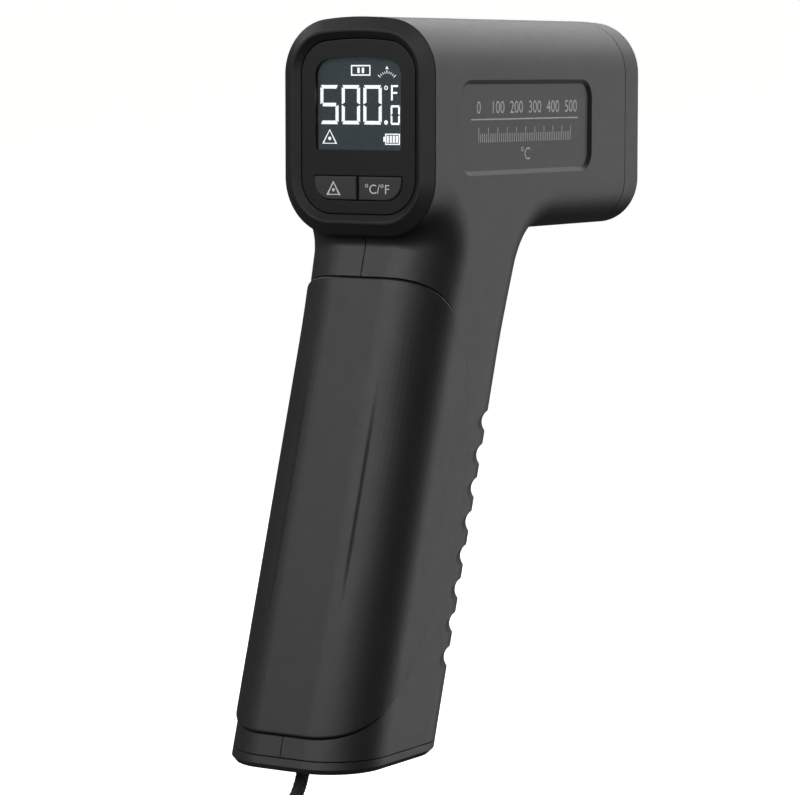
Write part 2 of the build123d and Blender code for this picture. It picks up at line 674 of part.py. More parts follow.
COLLAR_START = BARREL_LENGTH + 1.0
ROOT_START = BARREL_LENGTH + 1.2  # band that ties the cap's skirt to its wall
ROOT_LENGTH = 1.3
ROOT_INSET = WALL - 0.4
BARREL_FRONT = BARREL_LENGTH + NOZZLE_LENGTH
APERTURE_LENGTH = BARREL_FRONT - APERTURE_CHAMFER - COLLAR_START
LENS_SEAT = TUBE_END - LENS_RING_LENGTH - LENS_THICKNESS
LENS_CURVE = 20.0


def cap_band(start, length, inner, outer):
    """Band round the nozzle cap between two insets from the skin."""
    band = extrude(across(start) * barrel_outline(outer, FRONT_CORNER), length)
    return band - extrude(across(start) * barrel_outline(inner, FRONT_CORNER), length)


def nozzle_cap():
    """Front cap with the sensor's collar and the laser's hole, pushed into the housing."""
    start = BARREL_LENGTH + SEAM_GAP
    cap = extrude(across(start) * barrel_outline(0, FRONT_CORNER), BARREL_FRONT - start)
    cap = fillet(cap.faces().sort_by(Axis.X)[-1].edges(), NOZZLE_EDGE)
    depth = BARREL_FRONT - NOZZLE_WALL - start
    cap -= extrude(across(start) * barrel_outline(WALL, FRONT_CORNER), depth)
    skirt_start = BARREL_LENGTH - SKIRT_LENGTH
    skirt_inner = SKIRT_INSET + SKIRT_WALL
    root_end = ROOT_START + ROOT_LENGTH
    skirt = cap_band(skirt_start, root_end - skirt_start, skirt_inner, SKIRT_INSET)
    root = cap_band(ROOT_START, ROOT_LENGTH, skirt_inner, ROOT_INSET)
    cap = cap + skirt + root
    collar_length = BARREL_FRONT - 1 - COLLAR_START
    cap += rod(COLLAR_START, collar_length, APERTURE_RADIUS + APERTURE_COLLAR, APERTURE_LEVEL)
    cap -= rod(COLLAR_START, NOZZLE_LENGTH, APERTURE_RADIUS, APERTURE_LEVEL)
    mouth = across(BARREL_FRONT - APERTURE_CHAMFER, APERTURE_LEVEL)
    cap -= extrude(mouth * Circle(APERTURE_RADIUS), APERTURE_CHAMFER, taper=-45)
    return cap - rod(COLLAR_START, NOZZLE_LENGTH, LASER_HOLE_RADIUS, LASER_LEVEL)


def laser_window():
    """Clear disc in the nozzle's lower hole."""
    return rod(BARREL_FRONT - 2.2, 1.4, LASER_HOLE_RADIUS - PIN_SEAT, LASER_LEVEL)


def sensor_tube():
    """Machined tube that holds lens and sensor in line."""
    tube = rod(TUBE_START, TUBE_END - TUBE_START, TUBE_RADIUS, APERTURE_LEVEL)
    tube -= rod(TUBE_START, TUBE_END - TUBE_START, TUBE_BORE - 1, APERTURE_LEVEL)
    return tube - rod(LENS_SEAT, TUBE_END - LENS_SEAT, TUBE_BORE, APERTURE_LEVEL)


def infrared_lens():
    """Plano-convex lens, its dome to the front."""
    disc = rod(LENS_SEAT, LENS_THICKNESS, TUBE_BORE - WINDOW_CLEARANCE, APERTURE_LEVEL)
    apex = station(LENS_SEAT + LENS_THICKNESS - LENS_CURVE, APERTURE_LEVEL)
    return disc & (Pos(*apex) * Sphere(LENS_CURVE))


def lens_ring():
    """Retaining ring in the tube's mouth."""
    ring = rod(TUBE_END - LENS_RING_LENGTH, LENS_RING_LENGTH, TUBE_BORE - PIN_SEAT, APERTURE_LEVEL)
    return ring - rod(TUBE_END - LENS_RING_LENGTH, LENS_RING_LENGTH, TUBE_BORE - 1.2, APERTURE_LEVEL)


def sensor_board():
    """Disc board in the tube's rear end."""
    return rod(TUBE_START + 0.4, BOARD_THICKNESS, TUBE_BORE - 1.1, APERTURE_LEVEL)


def thermopile():
    """Metal-can sensor with a rim and a window in its front."""
    face = TUBE_START + 0.4 + BOARD_THICKNESS
    can = rod(face, THERMOPILE_LENGTH, THERMOPILE_RADIUS, APERTURE_LEVEL)
    can += rod(face, 0.6, THERMOPILE_RADIUS + 0.6, APERTURE_LEVEL)
    return can - rod(face + THERMOPILE_LENGTH - 0.4, 0.4, 2.0, APERTURE_LEVEL)


def laser_module():
    """Brass pointer barrel with its exit hole."""
    body = rod(LASER_START, LASER_END - LASER_START, LASER_RADIUS, LASER_LEVEL)
    return body - rod(LASER_END - 2.5, 2.5, 1.2, LASER_LEVEL)


def laser_board():
    """Driver board on the pointer's rear."""
    return rod(LASER_START - BOARD_THICKNESS, BOARD_THICKNESS, LASER_RADIUS - 0.2, LASER_LEVEL)


# ---- Trigger --------------------------------------------------------------------------------

TRIGGER_REAR_LEVEL = -41.0  # level of the return spring
TRIGGER_CORNER = 0.9
TRIGGER_EDGE = 1.4  # rounding along the finger's face
SPRING_RADIUS = 2.6
SPRING_WIRE = 0.55
SPRING_SEAT = 0.8
SWITCH_LEVEL = -54.0


def trigger():
    """Finger lever that swings on the pin, with a hollowed face."""
    face = [(FRONT_STATION - setback, level) for setback, level in TRIGGER_FACE]
    heel = [(FRONT_STATION - setback, level) for setback, level in TRIGGER_HEEL]
    rest = FilletPolyline(face[-1], *heel, face[0], radius=TRIGGER_CORNER)
    blade = make_face([ThreePointArc(*face), rest])
    plane = Plane(origin=station(0), x_dir=(1, 0, 0), z_dir=(0, -1, 0))
    lever = extrude(plane * blade, TRIGGER_WIDTH / 2, both=True)
    edges = [e for e in lever.edges() if e.geom_type == GeomType.CIRCLE and e.length > 15]
    lever = fillet(edges, TRIGGER_EDGE)
    pivot = station(*TRIGGER_PIVOT)
    half = TRIGGER_WIDTH / 2
    lever += crossbar(pivot.X, pivot.Z, TRIGGER_HUB_RADIUS, -half, half)
    lever -= crossbar(pivot.X, pivot.Z, PIN_RADIUS + PIN_RUNNING, -half, half)
    seat = rod(TRIGGER_BACK, SPRING_SEAT, SPRING_RADIUS + SPRING_WIRE + 0.05, TRIGGER_REAR_LEVEL)
    return lever - seat


def trigger_pin():
    """Steel pin across both halves' bosses."""
    pivot = station(*TRIGGER_PIVOT)
    reach = PIN_REACH - 0.2
    return crossbar(pivot.X, pivot.Z, PIN_RADIUS, -reach, reach)


def coil(radius, wire, pitch, length):
    """Open coil spring along +Z from the origin."""
    path = Helix(pitch, length, radius)
    section = Plane(origin=path @ 0, z_dir=path % 0) * Circle(wire)
    return sweep(section, path)


def trigger_spring():
    """Compression spring between the web and the trigger."""
    gap = WEB_GAP + SPRING_SEAT - 2 * SPRING_WIRE - 2 * HOLD_CLEARANCE
    turns = coil(SPRING_RADIUS, SPRING_WIRE, 2.3, gap)
    start = WEB_STATIONS[1] + SPRING_WIRE + HOLD_CLEARANCE
    return across(start, TRIGGER_REAR_LEVEL) * turns


def switch_board():
    """Small board on the grip's web."""
    low = station(WEB_STATIONS[1], WEB_LEVELS[0], -8.0)
    return block(low, station(WEB_STATIONS[1] + BOARD_THICKNESS, SWITCH_LEVEL + 7.5, 8.0))


def trigger_switch():
    """Snap switch that the trigger's back presses."""
    face = WEB_STATIONS[1] + BOARD_THICKNESS
    low = station(face, SWITCH_LEVEL - 4.5, -3.2)
    case = block(low, station(face + 6.0, SWITCH_LEVEL + 4.5, 3.2))
    return case + rod(face + 6.0, 1.2, 1.1, SWITCH_LEVEL)


# ---- Batteries ------------------------------------------------------------------------------

def in_grip(low, high):
    """Box between two corners given in the grip's leaning frame."""
    return GRIP * block(low, high)


def battery_tray():
    """Open box behind the recess wall that holds two cells side by side."""
    half = BAY_WIDTH / 2
    foot, top = CELL_CENTRE - BAY_LENGTH / 2, CELL_CENTRE + BAY_LENGTH / 2
    floor = TRAY_RIM + BAY_DEPTH
    outer = in_grip(
        (TRAY_RIM, -half - TRAY_WALL, foot - TRAY_WALL),
        (floor + TRAY_WALL, half + TRAY_WALL, top + TRAY_WALL),
    )
    tray = outer - in_grip((TRAY_RIM, -half, foot), (floor, half, top))
    return tray + in_grip((floor - 2.5, -0.12, foot + 8), (floor, 0.12, top - 8))


def battery(side):
    """One cell: side 1 stands nub up, side -1 nub down."""
    nub = 1.0
    body = CELL_LENGTH - nub
    start = CELL_CENTRE - BAY_LENGTH / 2 + (SPRING_ROOM - 0.5 if side > 0 else nub + 0.5)
    y = side * CELL_PITCH / 2
    can = Pos(CELL_X, y, start) * Cylinder(
        CELL_DIAMETER / 2, body, align=(Align.CENTER, Align.CENTER, Align.MIN)
    )
    can = fillet(can.edges(), 0.5)
    height = start + body if side > 0 else start - nub
    tip = Pos(CELL_X, y, height) * Cylinder(
        1.9, nub, align=(Align.CENTER, Align.CENTER, Align.MIN)
    )
    return GRIP * (can + tip)


def battery_springs():
    """Coil contacts at each cell's flat end."""
    springs = []
    foot, top = CELL_CENTRE - BAY_LENGTH / 2, CELL_CENTRE + BAY_LENGTH / 2
    length = SPRING_ROOM - 0.5 - 2 * 0.45 - 0.5
    for side in (1, -1):
        start = foot + 0.5 + 0.45 if side > 0 else top - 0.5 - 0.45 - length
        turns = coil(2.8, 0.4, 1.3, length)
        springs.append(GRIP * (Pos(CELL_X, side * CELL_PITCH / 2, start) * turns))
    return springs


def battery_contacts():
    """Flat contact plates against the tray's two ends."""
    plates = []
    foot, top = CELL_CENTRE - BAY_LENGTH / 2, CELL_CENTRE + BAY_LENGTH / 2
    for side in (1, -1):
        for low in (foot, top - 0.4):
            inner, outer = sorted((side * 0.8, side * (BAY_WIDTH / 2 - 0.4)))
            plates.append(
                in_grip((TRAY_RIM + 1.0, inner, low), (TRAY_RIM + BAY_DEPTH, outer, low + 0.4))
            )
    return plates


# ---- Wires ----------------------------------------------------------------------------------

WIRE_RADIUS = 0.55
TRAY_LEAD = GRIP.from_local_coords((CELL_X, 0, TRAY_TOP))
TRAY_LEAD_END = GRIP.from_local_coords((CELL_X, 0, TRAY_TOP + 8))
BOARD_FACE = BOARD_STATION + BOARD_THICKNESS
SWITCH_LEAD = WEB_STATIONS[1] + BOARD_THICKNESS / 2
WIRE_ROUTES = (  # station and level of each point, and the y of each wire
    (
        (
            (TRAY_LEAD.X - BARREL_REAR, TRAY_LEAD.Z - BARREL_AXIS),
            (TRAY_LEAD_END.X - BARREL_REAR, TRAY_LEAD_END.Z - BARREL_AXIS),
            (13.0, -37.0),
            (20.0, -26.0),
            (22.0, -14.0),
            (16.0, -11.8),
            (BOARD_FACE, -11.8),
        ),
        (5.6, 7.6),
    ),
    (
        (
            (SWITCH_LEAD, SWITCH_LEVEL + 7.5),
            (SWITCH_LEAD, -36.0),
            (20.5, -24.0),
            (21.5, -14.0),
            (16.0, -11.8),
            (BOARD_FACE, -11.8),
        ),
        (-7.8, -5.8),
    ),
    (((TUBE_START + 0.4, 1.0), (32.0, 1.0), (24.0, -1.5), (16.0, 1.6), (BOARD_FACE, 1.6)), (-5.8, 5.8)),
    (
        (
            (LASER_START - BOARD_THICKNESS, LASER_LEVEL),
            (54.0, LASER_LEVEL),
            (42.0, -12.5),
            (29.0, -9.5),
            (17.0, -5.6),
            (BOARD_FACE, -5.6),
        ),
        (1.4, -1.4),
    ),
)


def arc_radii(corners):
    """Radius for each inner corner of a route: the largest that its two runs allow."""
    runs = [b - a for a, b in zip(corners, corners[1:])]
    return [
        0.45 * min(a.length, b.length) / tan(radians(a.get_angle(b)) / 2)
        for a, b in zip(runs, runs[1:])
    ]


def round_tube(path, radius):
    """Tube swept along a path."""
    return sweep(Plane(origin=path @ 0, z_dir=path % 0) * Circle(radius), path)


def wire_harness():
    """Pairs of wires to the cells, the trigger's board, the sensor and the laser."""
    wires = []
    for points, places in WIRE_ROUTES:
        for y in places:
            corners = [station(distance, level, y) for distance, level in points]
            path = FilletPolyline(*corners, radius=arc_radii(corners))
            wires.append(round_tube(path, WIRE_RADIUS))
    return wires


# ---- Base and wrist cord ----------------------------------------------------------------------

CORD_RADIUS = CORD_DIAMETER / 2
CORD_EXIT_X = BARREL_REAR + CORD_EXIT[0]
CORD_TOP = BASE_FOOT + BASE_HEIGHT + CORD_BOSS
# Points of the cord's centre line from its exit: x and z from the exit in the base's foot,
# and y. The loop hangs from the ferrule and its end goes back into it.
CORD_ROUTE = (
    (0.0, 0.0, BASE_HEIGHT + CORD_BOSS),
    (0.0, 0.0, -2.5),
    (-5.6, 0.4, -10.0),
    (-7.6, 1.0, -21.0),
    (-8.4, 1.4, -33.0),
    (-16.0, 4.0, -49.0),
    (-26.5, 8.0, -67.0),
    (-26.0, 9.5, -87.5),
    (-11.5, 5.0, -101.0),
    (7.5, -2.5, -95.0),
    (14.5, -5.5, -76.5),
    (9.0, -3.5, -57.0),
    (-0.5, -0.8, -42.0),
    (-3.9, 1.0, -30.5),
    (-3.7, 1.2, -24.5),
)
FERRULE_TOP = -22.5  # z from the base's foot


def base_cap():
    """Flat foot of the grip, with a rim inside the housing and the cord's hole."""
    top = GRIP_BOTTOM - SEAM_GAP

    def slice_of_grip(inset, low, high):
        whole = grip_body(inset, BASE_FOOT, COVER_CEILING)
        return whole & block((-200, -200, low), (200, 200, high))

    cap = slice_of_grip(0, BASE_FOOT, top)
    cap = chamfer(cap.faces().sort_by(Axis.Z)[0].edges(), BASE_CHAMFER)
    rim_inset = WALL + PLUG_CLEARANCE
    rim_top = GRIP_BOTTOM + PLUG_HEIGHT
    rim = slice_of_grip(rim_inset, top, rim_top) - slice_of_grip(rim_inset + SKIRT_WALL, top, rim_top)
    boss = Pos(CORD_EXIT_X, 0, top) * Cylinder(
        KNOT_RADIUS + 1, CORD_TOP - top, align=(Align.CENTER, Align.CENTER, Align.MIN)
    )
    hole = Pos(CORD_EXIT_X, 0, BASE_FOOT) * Cylinder(CORD_RADIUS + CORD_HOLE_CLEARANCE, 40)
    return cap + rim + boss - hole


def cord_path():
    """Centre line of the cord and the radii of its arcs."""
    corners = [Vector(CORD_EXIT_X + x, y, BASE_FOOT + z) for x, y, z in CORD_ROUTE]
    radii = arc_radii(corners)
    return FilletPolyline(*corners, radius=radii), radii


def wrist_cord(radius=CORD_RADIUS):
    """Round cord swept along its path."""
    return round_tube(cord_path()[0], radius)


def cord_knot():
    """Stopper knot that keeps the cord in the base."""
    ball = Pos(CORD_EXIT_X, 0, CORD_TOP + KNOT_RADIUS * 0.7) * Sphere(KNOT_RADIUS)
    low = (CORD_EXIT_X - 10, -10, CORD_TOP)
    return ball & block(low, (CORD_EXIT_X + 10, 10, CORD_TOP + 20))


def cord_ferrule():
    """Crimped sleeve that closes the loop, two bores side by side below and one above."""
    strands = CORD_ROUTE[3], CORD_ROUTE[-1]
    x = CORD_EXIT_X + (strands[0][0] + strands[1][0]) / 2
    y = (strands[0][1] + strands[1][1]) / 2
    spread = abs(strands[0][0] - strands[1][0])
    outline = SlotCenterToCenter(spread, CORD_DIAMETER + 2 * FERRULE_WALL)
    top = BASE_FOOT + FERRULE_TOP
    sleeve = extrude(Pos(x, y, top - FERRULE_LENGTH) * outline, FERRULE_LENGTH)
    sleeve = fillet(sleeve.edges().filter_by(GeomType.CIRCLE), 0.7)
    return sleeve - wrist_cord(CORD_RADIUS + 0.05)


# ---- Build and write ----------------------------------------------------------------------

shell = housing()
pieces = {
    "left_housing": housing_half(shell, 1),
    "right_housing": housing_half(shell, -1),
    "housing_screws": housing_screws(),
    "display_bezel": display_bezel(),
    "display_plate": display_plate(),
    "display_window": display_window(),
    "lcd_glass": lcd_glass(),
    "lcd_backlight": backlight(),
    "lcd_contact_strip": lcd_contact_strip(),
    "lcd_frame": lcd_frame(),
    "laser_button": key_button(1),
    "unit_button": key_button(-1),
    "key_switches": key_switches(),
    "main_board": main_board(),
    "board_screws": board_screws(),
    "board_parts": board_parts(),
    "buzzer": buzzer(),
    "nozzle_cap": nozzle_cap(),
    "laser_window": laser_window(),
    "sensor_tube": sensor_tube(),
    "infrared_lens": infrared_lens(),
    "lens_ring": lens_ring(),
    "sensor_board": sensor_board(),
    "thermopile": thermopile(),
    "laser_module": laser_module(),
    "laser_board": laser_board(),
    "trigger": trigger(),
    "trigger_pin": trigger_pin(),
    "trigger_spring": trigger_spring(),
    "switch_board": switch_board(),
    "trigger_switch": trigger_switch(),
    "battery_cover": battery_cover(),
    "battery_tray": battery_tray(),
    "battery_1": battery(1),
    "battery_2": battery(-1),
    "battery_springs": battery_springs(),
    "battery_contacts": battery_contacts(),
    "wire_harness": wire_harness(),
    "base_cap": base_cap(),
    "wrist_cord": wrist_cord(),
    "cord_knot": cord_knot(),
    "cord_ferrule": cord_ferrule(),
}

os.makedirs("parts", exist_ok=True)
for name, piece in pieces.items():
    group = piece if isinstance(piece, list) else [piece]
    solids = [solid for member in group for solid in member.solids()]
    export_step(Compound(children=solids) if len(solids) > 1 else solids[0], f"parts/{name}.step")

path, radii = cord_path()
cord_volume = pieces["wrist_cord"].volume
print("cord length", round(path.length, 1), "radii", [round(radius, 1) for radius in radii])
plain_volume = path.length * pi * CORD_RADIUS**2
print("cord volume over section times length", round(cord_volume / plain_volume, 4))
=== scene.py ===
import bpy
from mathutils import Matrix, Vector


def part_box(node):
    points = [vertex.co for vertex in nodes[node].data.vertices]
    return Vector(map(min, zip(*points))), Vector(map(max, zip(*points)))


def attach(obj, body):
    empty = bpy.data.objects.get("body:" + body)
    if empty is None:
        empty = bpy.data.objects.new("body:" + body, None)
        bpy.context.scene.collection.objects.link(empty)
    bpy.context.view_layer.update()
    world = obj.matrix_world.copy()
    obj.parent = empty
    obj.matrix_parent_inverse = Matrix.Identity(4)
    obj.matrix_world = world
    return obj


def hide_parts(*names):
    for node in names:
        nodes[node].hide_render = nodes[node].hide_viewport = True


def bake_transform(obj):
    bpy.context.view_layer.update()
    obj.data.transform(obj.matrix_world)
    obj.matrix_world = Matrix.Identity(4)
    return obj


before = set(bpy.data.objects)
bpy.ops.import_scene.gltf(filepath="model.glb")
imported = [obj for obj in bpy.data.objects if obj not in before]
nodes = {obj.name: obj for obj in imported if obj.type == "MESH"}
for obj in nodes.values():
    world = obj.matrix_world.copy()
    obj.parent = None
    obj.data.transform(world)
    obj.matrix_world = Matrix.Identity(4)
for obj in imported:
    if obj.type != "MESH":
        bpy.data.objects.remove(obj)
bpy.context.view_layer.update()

from math import asin, cos, pi, radians, sin, tan

import bmesh
import bpy
from mathutils import Matrix, Vector

# ==== Housing halves, nozzle cap and base cap ====================================================
# The gun-shaped housing is two mirrored shells, with a cap pushed in at the nozzle and a flat foot.
# All four are injection-moulded ABS, dark grey, from a spark-eroded mould, so the skin is matt with
# a fine even grain and only the roof and the tight edges catch a soft shine.

MM = 0.001


def linear(hex_code):
    """An sRGB hex colour as linear RGBA."""
    channels = [int(hex_code[i : i + 2], 16) / 255 for i in (1, 3, 5)]
    return [c / 12.92 if c <= 0.04045 else ((c + 0.055) / 1.055) ** 2.4 for c in channels] + [1.0]


def add_node(tree, kind, inputs=None, **settings):
    """A node with its settings; an input that is a socket is linked, and any other is a value."""
    node = tree.nodes.new(kind)
    for name, value in settings.items():
        setattr(node, name, value)
    for name, value in (inputs or {}).items():
        if isinstance(value, bpy.types.NodeSocket):
            tree.links.new(value, node.inputs[name])
        else:
            node.inputs[name].default_value = value
    return node


def new_material(name):
    """An empty material: its tree, its Principled shader and its object coordinates."""
    material = bpy.data.materials.new(name)
    material.use_nodes = True
    tree = material.node_tree
    shader = tree.nodes["Principled BSDF"]
    place = add_node(tree, "ShaderNodeTexCoord").outputs["Object"]
    return material, tree, shader, place


def noise(tree, place, size, detail=2.0, rough=0.5):
    """Noise from 0 to 1 with features of a size in metres."""
    given = {"Vector": place, "Scale": 1 / size, "Detail": detail, "Roughness": rough}
    return add_node(tree, "ShaderNodeTexNoise", given).outputs["Fac"]


MIX_A, MIX_B, MIX_RESULT = 6, 7, 2  # the Mix node's colour sockets, which share their names


def between(tree, share, low, high):
    """Colour between two hex values, by a share from 0 to 1."""
    ends = {"Factor": share, MIX_A: linear(low), MIX_B: linear(high)}
    return add_node(tree, "ShaderNodeMix", ends, data_type="RGBA").outputs[MIX_RESULT]


def patches(tree, place, size, low, high):
    """Colour that drifts between two hex values in patches of a size in metres."""
    limits = {"Value": noise(tree, place, size, 4.0), "From Min": 0.35, "From Max": 0.65}
    spread = add_node(tree, "ShaderNodeMapRange", limits)
    return between(tree, spread.outputs["Result"], low, high)


def uneven(tree, place, size, low, high):
    """A number that drifts between two values in patches of a size in metres."""
    limits = {"Value": noise(tree, place, size, 3.0), "From Min": 0.3, "From Max": 0.7}
    limits.update({"To Min": low, "To Max": high})
    return add_node(tree, "ShaderNodeMapRange", limits).outputs["Result"]


def relief(tree, shader, height, depth, **more):
    """Gives a shader's skin a relief of a depth in metres."""
    bump = add_node(tree, "ShaderNodeBump", {"Height": height, "Distance": depth, **more})
    tree.links.new(bump.outputs["Normal"], shader.inputs["Normal"])


EDGE_ROUND = 0.22 * MM  # moulded edges are never dead sharp
PLASTIC_IOR = 1.53
ROUGH_DRIFT = 0.015  # how far a moulding's roughness drifts to either side


def moulded_abs(name, low, high, rough, grain, depth):
    """Injection-moulded ABS: near-even colour, matt, with the mould's grain in its skin."""
    material, tree, shader, place = new_material(name)
    tree.links.new(patches(tree, place, 22 * MM, low, high), shader.inputs["Base Color"])
    roughness = uneven(tree, place, 3 * MM, rough - ROUGH_DRIFT, rough + ROUGH_DRIFT)
    tree.links.new(roughness, shader.inputs["Roughness"])
    shader.inputs["IOR"].default_value = PLASTIC_IOR
    edges = add_node(tree, "ShaderNodeBevel", {"Radius": EDGE_ROUND}, samples=4)
    pits = noise(tree, place, grain, rough=0.6)
    relief(tree, shader, pits, depth, Normal=edges.outputs[0])
    return material


def dress(material, *names):
    """Gives CAD nodes a material in their own slots."""
    for name in names:
        for place in nodes[name].material_slots:
            place.material = material


# The real grain is about 0.15 mm; it is drawn at 0.45 mm so that it shows at arm's length.
GRAIN = 0.45 * MM
housing_abs = moulded_abs("matt_spark_eroded_abs", "#252526", "#272728", 0.5, GRAIN, 0.012 * MM)
dress(housing_abs, "left_housing", "right_housing", "nozzle_cap", "base_cap")

# ==== Housing screws, board screws and trigger pin ===============================================
# Pan-head self-tapping screws and a ground pin, carbon steel with bright zinc plating. The plating
# is slightly cloudy, and the driver leaves fine scratches on the heads.


def plated_steel(name, low, high, rough, streak):
    """Plated steel with streaks of a size in metres."""
    material, tree, shader, place = new_material(name)
    shader.inputs["Metallic"].default_value = 1.0
    tree.links.new(patches(tree, place, 1.5 * MM, low, high), shader.inputs["Base Color"])
    roughness = uneven(tree, place, 0.6 * MM, rough - 0.08, rough + 0.1)
    tree.links.new(roughness, shader.inputs["Roughness"])
    stretched = add_node(tree, "ShaderNodeMapping", {"Vector": place, "Scale": (0.15, 1.0, 1.0)})
    lines = noise(tree, stretched.outputs[0], streak, 1.0)
    relief(tree, shader, lines, 0.01 * MM, Strength=0.6)
    return material


dress(
    plated_steel("bright_zinc_plated_steel", "#B9BCC0", "#D2D4D6", 0.32, 0.25 * MM),
    "housing_screws",
    "board_screws",
    "trigger_pin",
)

# ==== Display bezel and plate ====================================================================
# The bezel is a one-piece ABS ring, black and finely grained, that snaps into the display end. The
# plate inside it is thinner, satin black, with openings for the window and the two keys.

FINE_GRAIN = 0.35 * MM
bezel_abs = moulded_abs(
    "fine_grained_black_abs", "#1C1C1D", "#202021", 0.46, FINE_GRAIN, 0.008 * MM
)
dress(bezel_abs, "display_bezel")
plate_abs = moulded_abs("satin_black_abs", "#121213", "#151516", 0.42, FINE_GRAIN, 0.004 * MM)
dress(plate_abs, "display_plate")

# ==== Window, liquid-crystal cell and its segments ===============================================
# A clear hard-coated acrylic pane covers a negative liquid-crystal cell: the ground is a dark
# blue-grey, and the segments let the white backlight through.


ACRYLIC_IOR = 1.49


def clear_pane(name):
    """Clear acrylic with a faint smoke tint, seen through by alpha."""
    material, tree, shader, place = new_material(name)
    tree.links.new(patches(tree, place, 6 * MM, "#0C0F10", "#111516"), shader.inputs["Base Color"])
    tree.links.new(uneven(tree, place, 2 * MM, 0.05, 0.09), shader.inputs["Roughness"])
    shader.inputs["IOR"].default_value = ACRYLIC_IOR
    shader.inputs["Alpha"].default_value = 0.14
    return material


dress(clear_pane("hard_coated_clear_acrylic"), "display_window", "laser_window")


def display_ground():
    """Negative cell: dark blue-grey, lit softly and evenly from behind."""
    material, tree, shader, place = new_material("negative_lcd_ground")
    colour = patches(tree, place, 9 * MM, "#394144", "#3B4447")
    tree.links.new(colour, shader.inputs["Base Color"])
    tree.links.new(colour, shader.inputs["Emission Color"])
    shader.inputs["Emission Strength"].default_value = 0.75
    tree.links.new(uneven(tree, place, 1 * MM, 0.22, 0.3), shader.inputs["Roughness"])
    shader.inputs["IOR"].default_value = 1.52
    return material


dress(display_ground(), "lcd_glass")


def lit_segment():
    """White backlight through an open segment, its brightness drifting a little in patches."""
    material, tree, shader, place = new_material("backlit_white_segment")
    colour = patches(tree, place, 7 * MM, "#F2F6F7", "#FFFFFF")
    tree.links.new(colour, shader.inputs["Base Color"])
    tree.links.new(colour, shader.inputs["Emission Color"])
    shader.inputs["Emission Strength"].default_value = 0.9
    tree.links.new(uneven(tree, place, 1 * MM, 0.3, 0.4), shader.inputs["Roughness"])
    return material


def stamp(bm, points, thick):
    """Adds a flat shape on a counter-clockwise outline, from 0 up to its thickness."""
    low = [bm.verts.new((x, y, 0)) for x, y in points]
    high = [bm.verts.new((x, y, thick)) for x, y in points]
    bm.faces.new(high)
    bm.faces.new(low[::-1])
    for i in range(len(points)):
        j = (i + 1) % len(points)
        bm.faces.new((low[i], low[j], high[j], high[i]))


def band(bm, outer, inner, thick):
    """Adds a closed frame between two outlines with as many points as each other."""
    count = len(outer)
    rows = [
        [bm.verts.new((x, y, z)) for x, y in line]
        for line, z in ((outer, 0), (outer, thick), (inner, thick), (inner, 0))
    ]
    for i in range(count):
        j = (i + 1) % count
        for a, b in zip(rows, rows[1:] + rows[:1]):
            bm.faces.new((a[i], a[j], b[j], b[i]))


def disc(x, y, radius, count=20):
    """Points of a circle."""
    turns = [2 * pi * i / count for i in range(count)]
    return [(x + radius * cos(turn), y + radius * sin(turn)) for turn in turns]


def rectangle(left, foot, right, top):
    """Points of a rectangle."""
    return [(left, foot), (right, foot), (right, top), (left, top)]


def triangle(x, foot, wide, high):
    """Points of an upright triangle."""
    return [(x - wide / 2, foot), (x + wide / 2, foot), (x, foot + high)]


CORNER_INSET, TIP_INSET = 2.2, 3.2  # how far a triangle's sharp ends push its inside in, in lines
DOT_HIGH, DOT_RADIUS = 0.36, 0.12  # the dot's place and size, as shares of the triangle's height


def beam_mark(bm, x, foot, wide, high, line, thick):
    """Generic light mark: a triangle outline with a dot at its middle."""
    slope = line * (wide / high) * CORNER_INSET
    outer = triangle(x, foot, wide, high)
    inner = triangle(x, foot + line, wide - 2 * slope, high - TIP_INSET * line)
    band(bm, outer, inner, thick)
    stamp(bm, disc(x, foot + high * DOT_HIGH, high * DOT_RADIUS, 14), thick)


SEGMENTS = {"0": "abcdef", "5": "acdfg"}


def digit(bm, mark, left, foot, wide, high, bar, thick):
    """Seven-segment figure with mitred bar ends."""
    middle, top, right, cut = foot + high / 2, foot + high, left + wide, bar * 0.12
    half = bar / 2

    def across(y, low, high_side):
        ends = (left + cut + half * low[0], right - cut - half * low[0])
        return [
            (ends[0] + half * (1 - low[1]), y - half),
            (ends[1] - half * (1 - low[1]), y - half),
            (ends[1] - half * (1 - high_side), y + half),
            (ends[0] + half * (1 - high_side), y + half),
        ]

    def upright(x, y_low, y_high, lean):
        return [
            (x - half, y_low + cut + half * (lean < 0)),
            (x + half, y_low + cut + half * (lean > 0)),
            (x + half, y_high - cut - half * (lean > 0)),
            (x - half, y_high - cut - half * (lean < 0)),
        ]

    shapes = {
        "a": across(top - half, (0.2, 0.0), 1.0),
        "g": across(middle, (0.9, 0.5), 0.5),
        "d": across(foot + half, (0.2, 1.0), 0.0),
        "f": upright(left + half, middle, top - half, 1),
        "e": upright(left + half, foot + half, middle, 1),
        "b": upright(right - half, middle, top - half, -1),
        "c": upright(right - half, foot + half, middle, -1),
    }
    for name in SEGMENTS[mark]:
        stamp(bm, shapes[name], thick)


def to_mesh(name, bm, place, material):
    """Makes the shapes a mesh object, moved from its own millimetres to a place in the frame."""
    bmesh.ops.recalc_face_normals(bm, faces=bm.faces)
    mesh = bpy.data.meshes.new(name)
    bm.to_mesh(mesh)
    bm.free()
    mesh.transform(place @ Matrix.Scale(MM, 4))
    mesh.materials.append(material)
    piece = bpy.data.objects.new(name, mesh)
    bpy.context.scene.collection.objects.link(piece)
    return piece


def facing(origin, right, up):
    """Matrix of a face: its x to the reader's right, its y up and its z out of the face."""
    x, y = Vector(right), Vector(up)
    turn = Matrix((x, y, x.cross(y))).transposed()
    return Matrix.Translation(origin) @ turn.to_4x4()


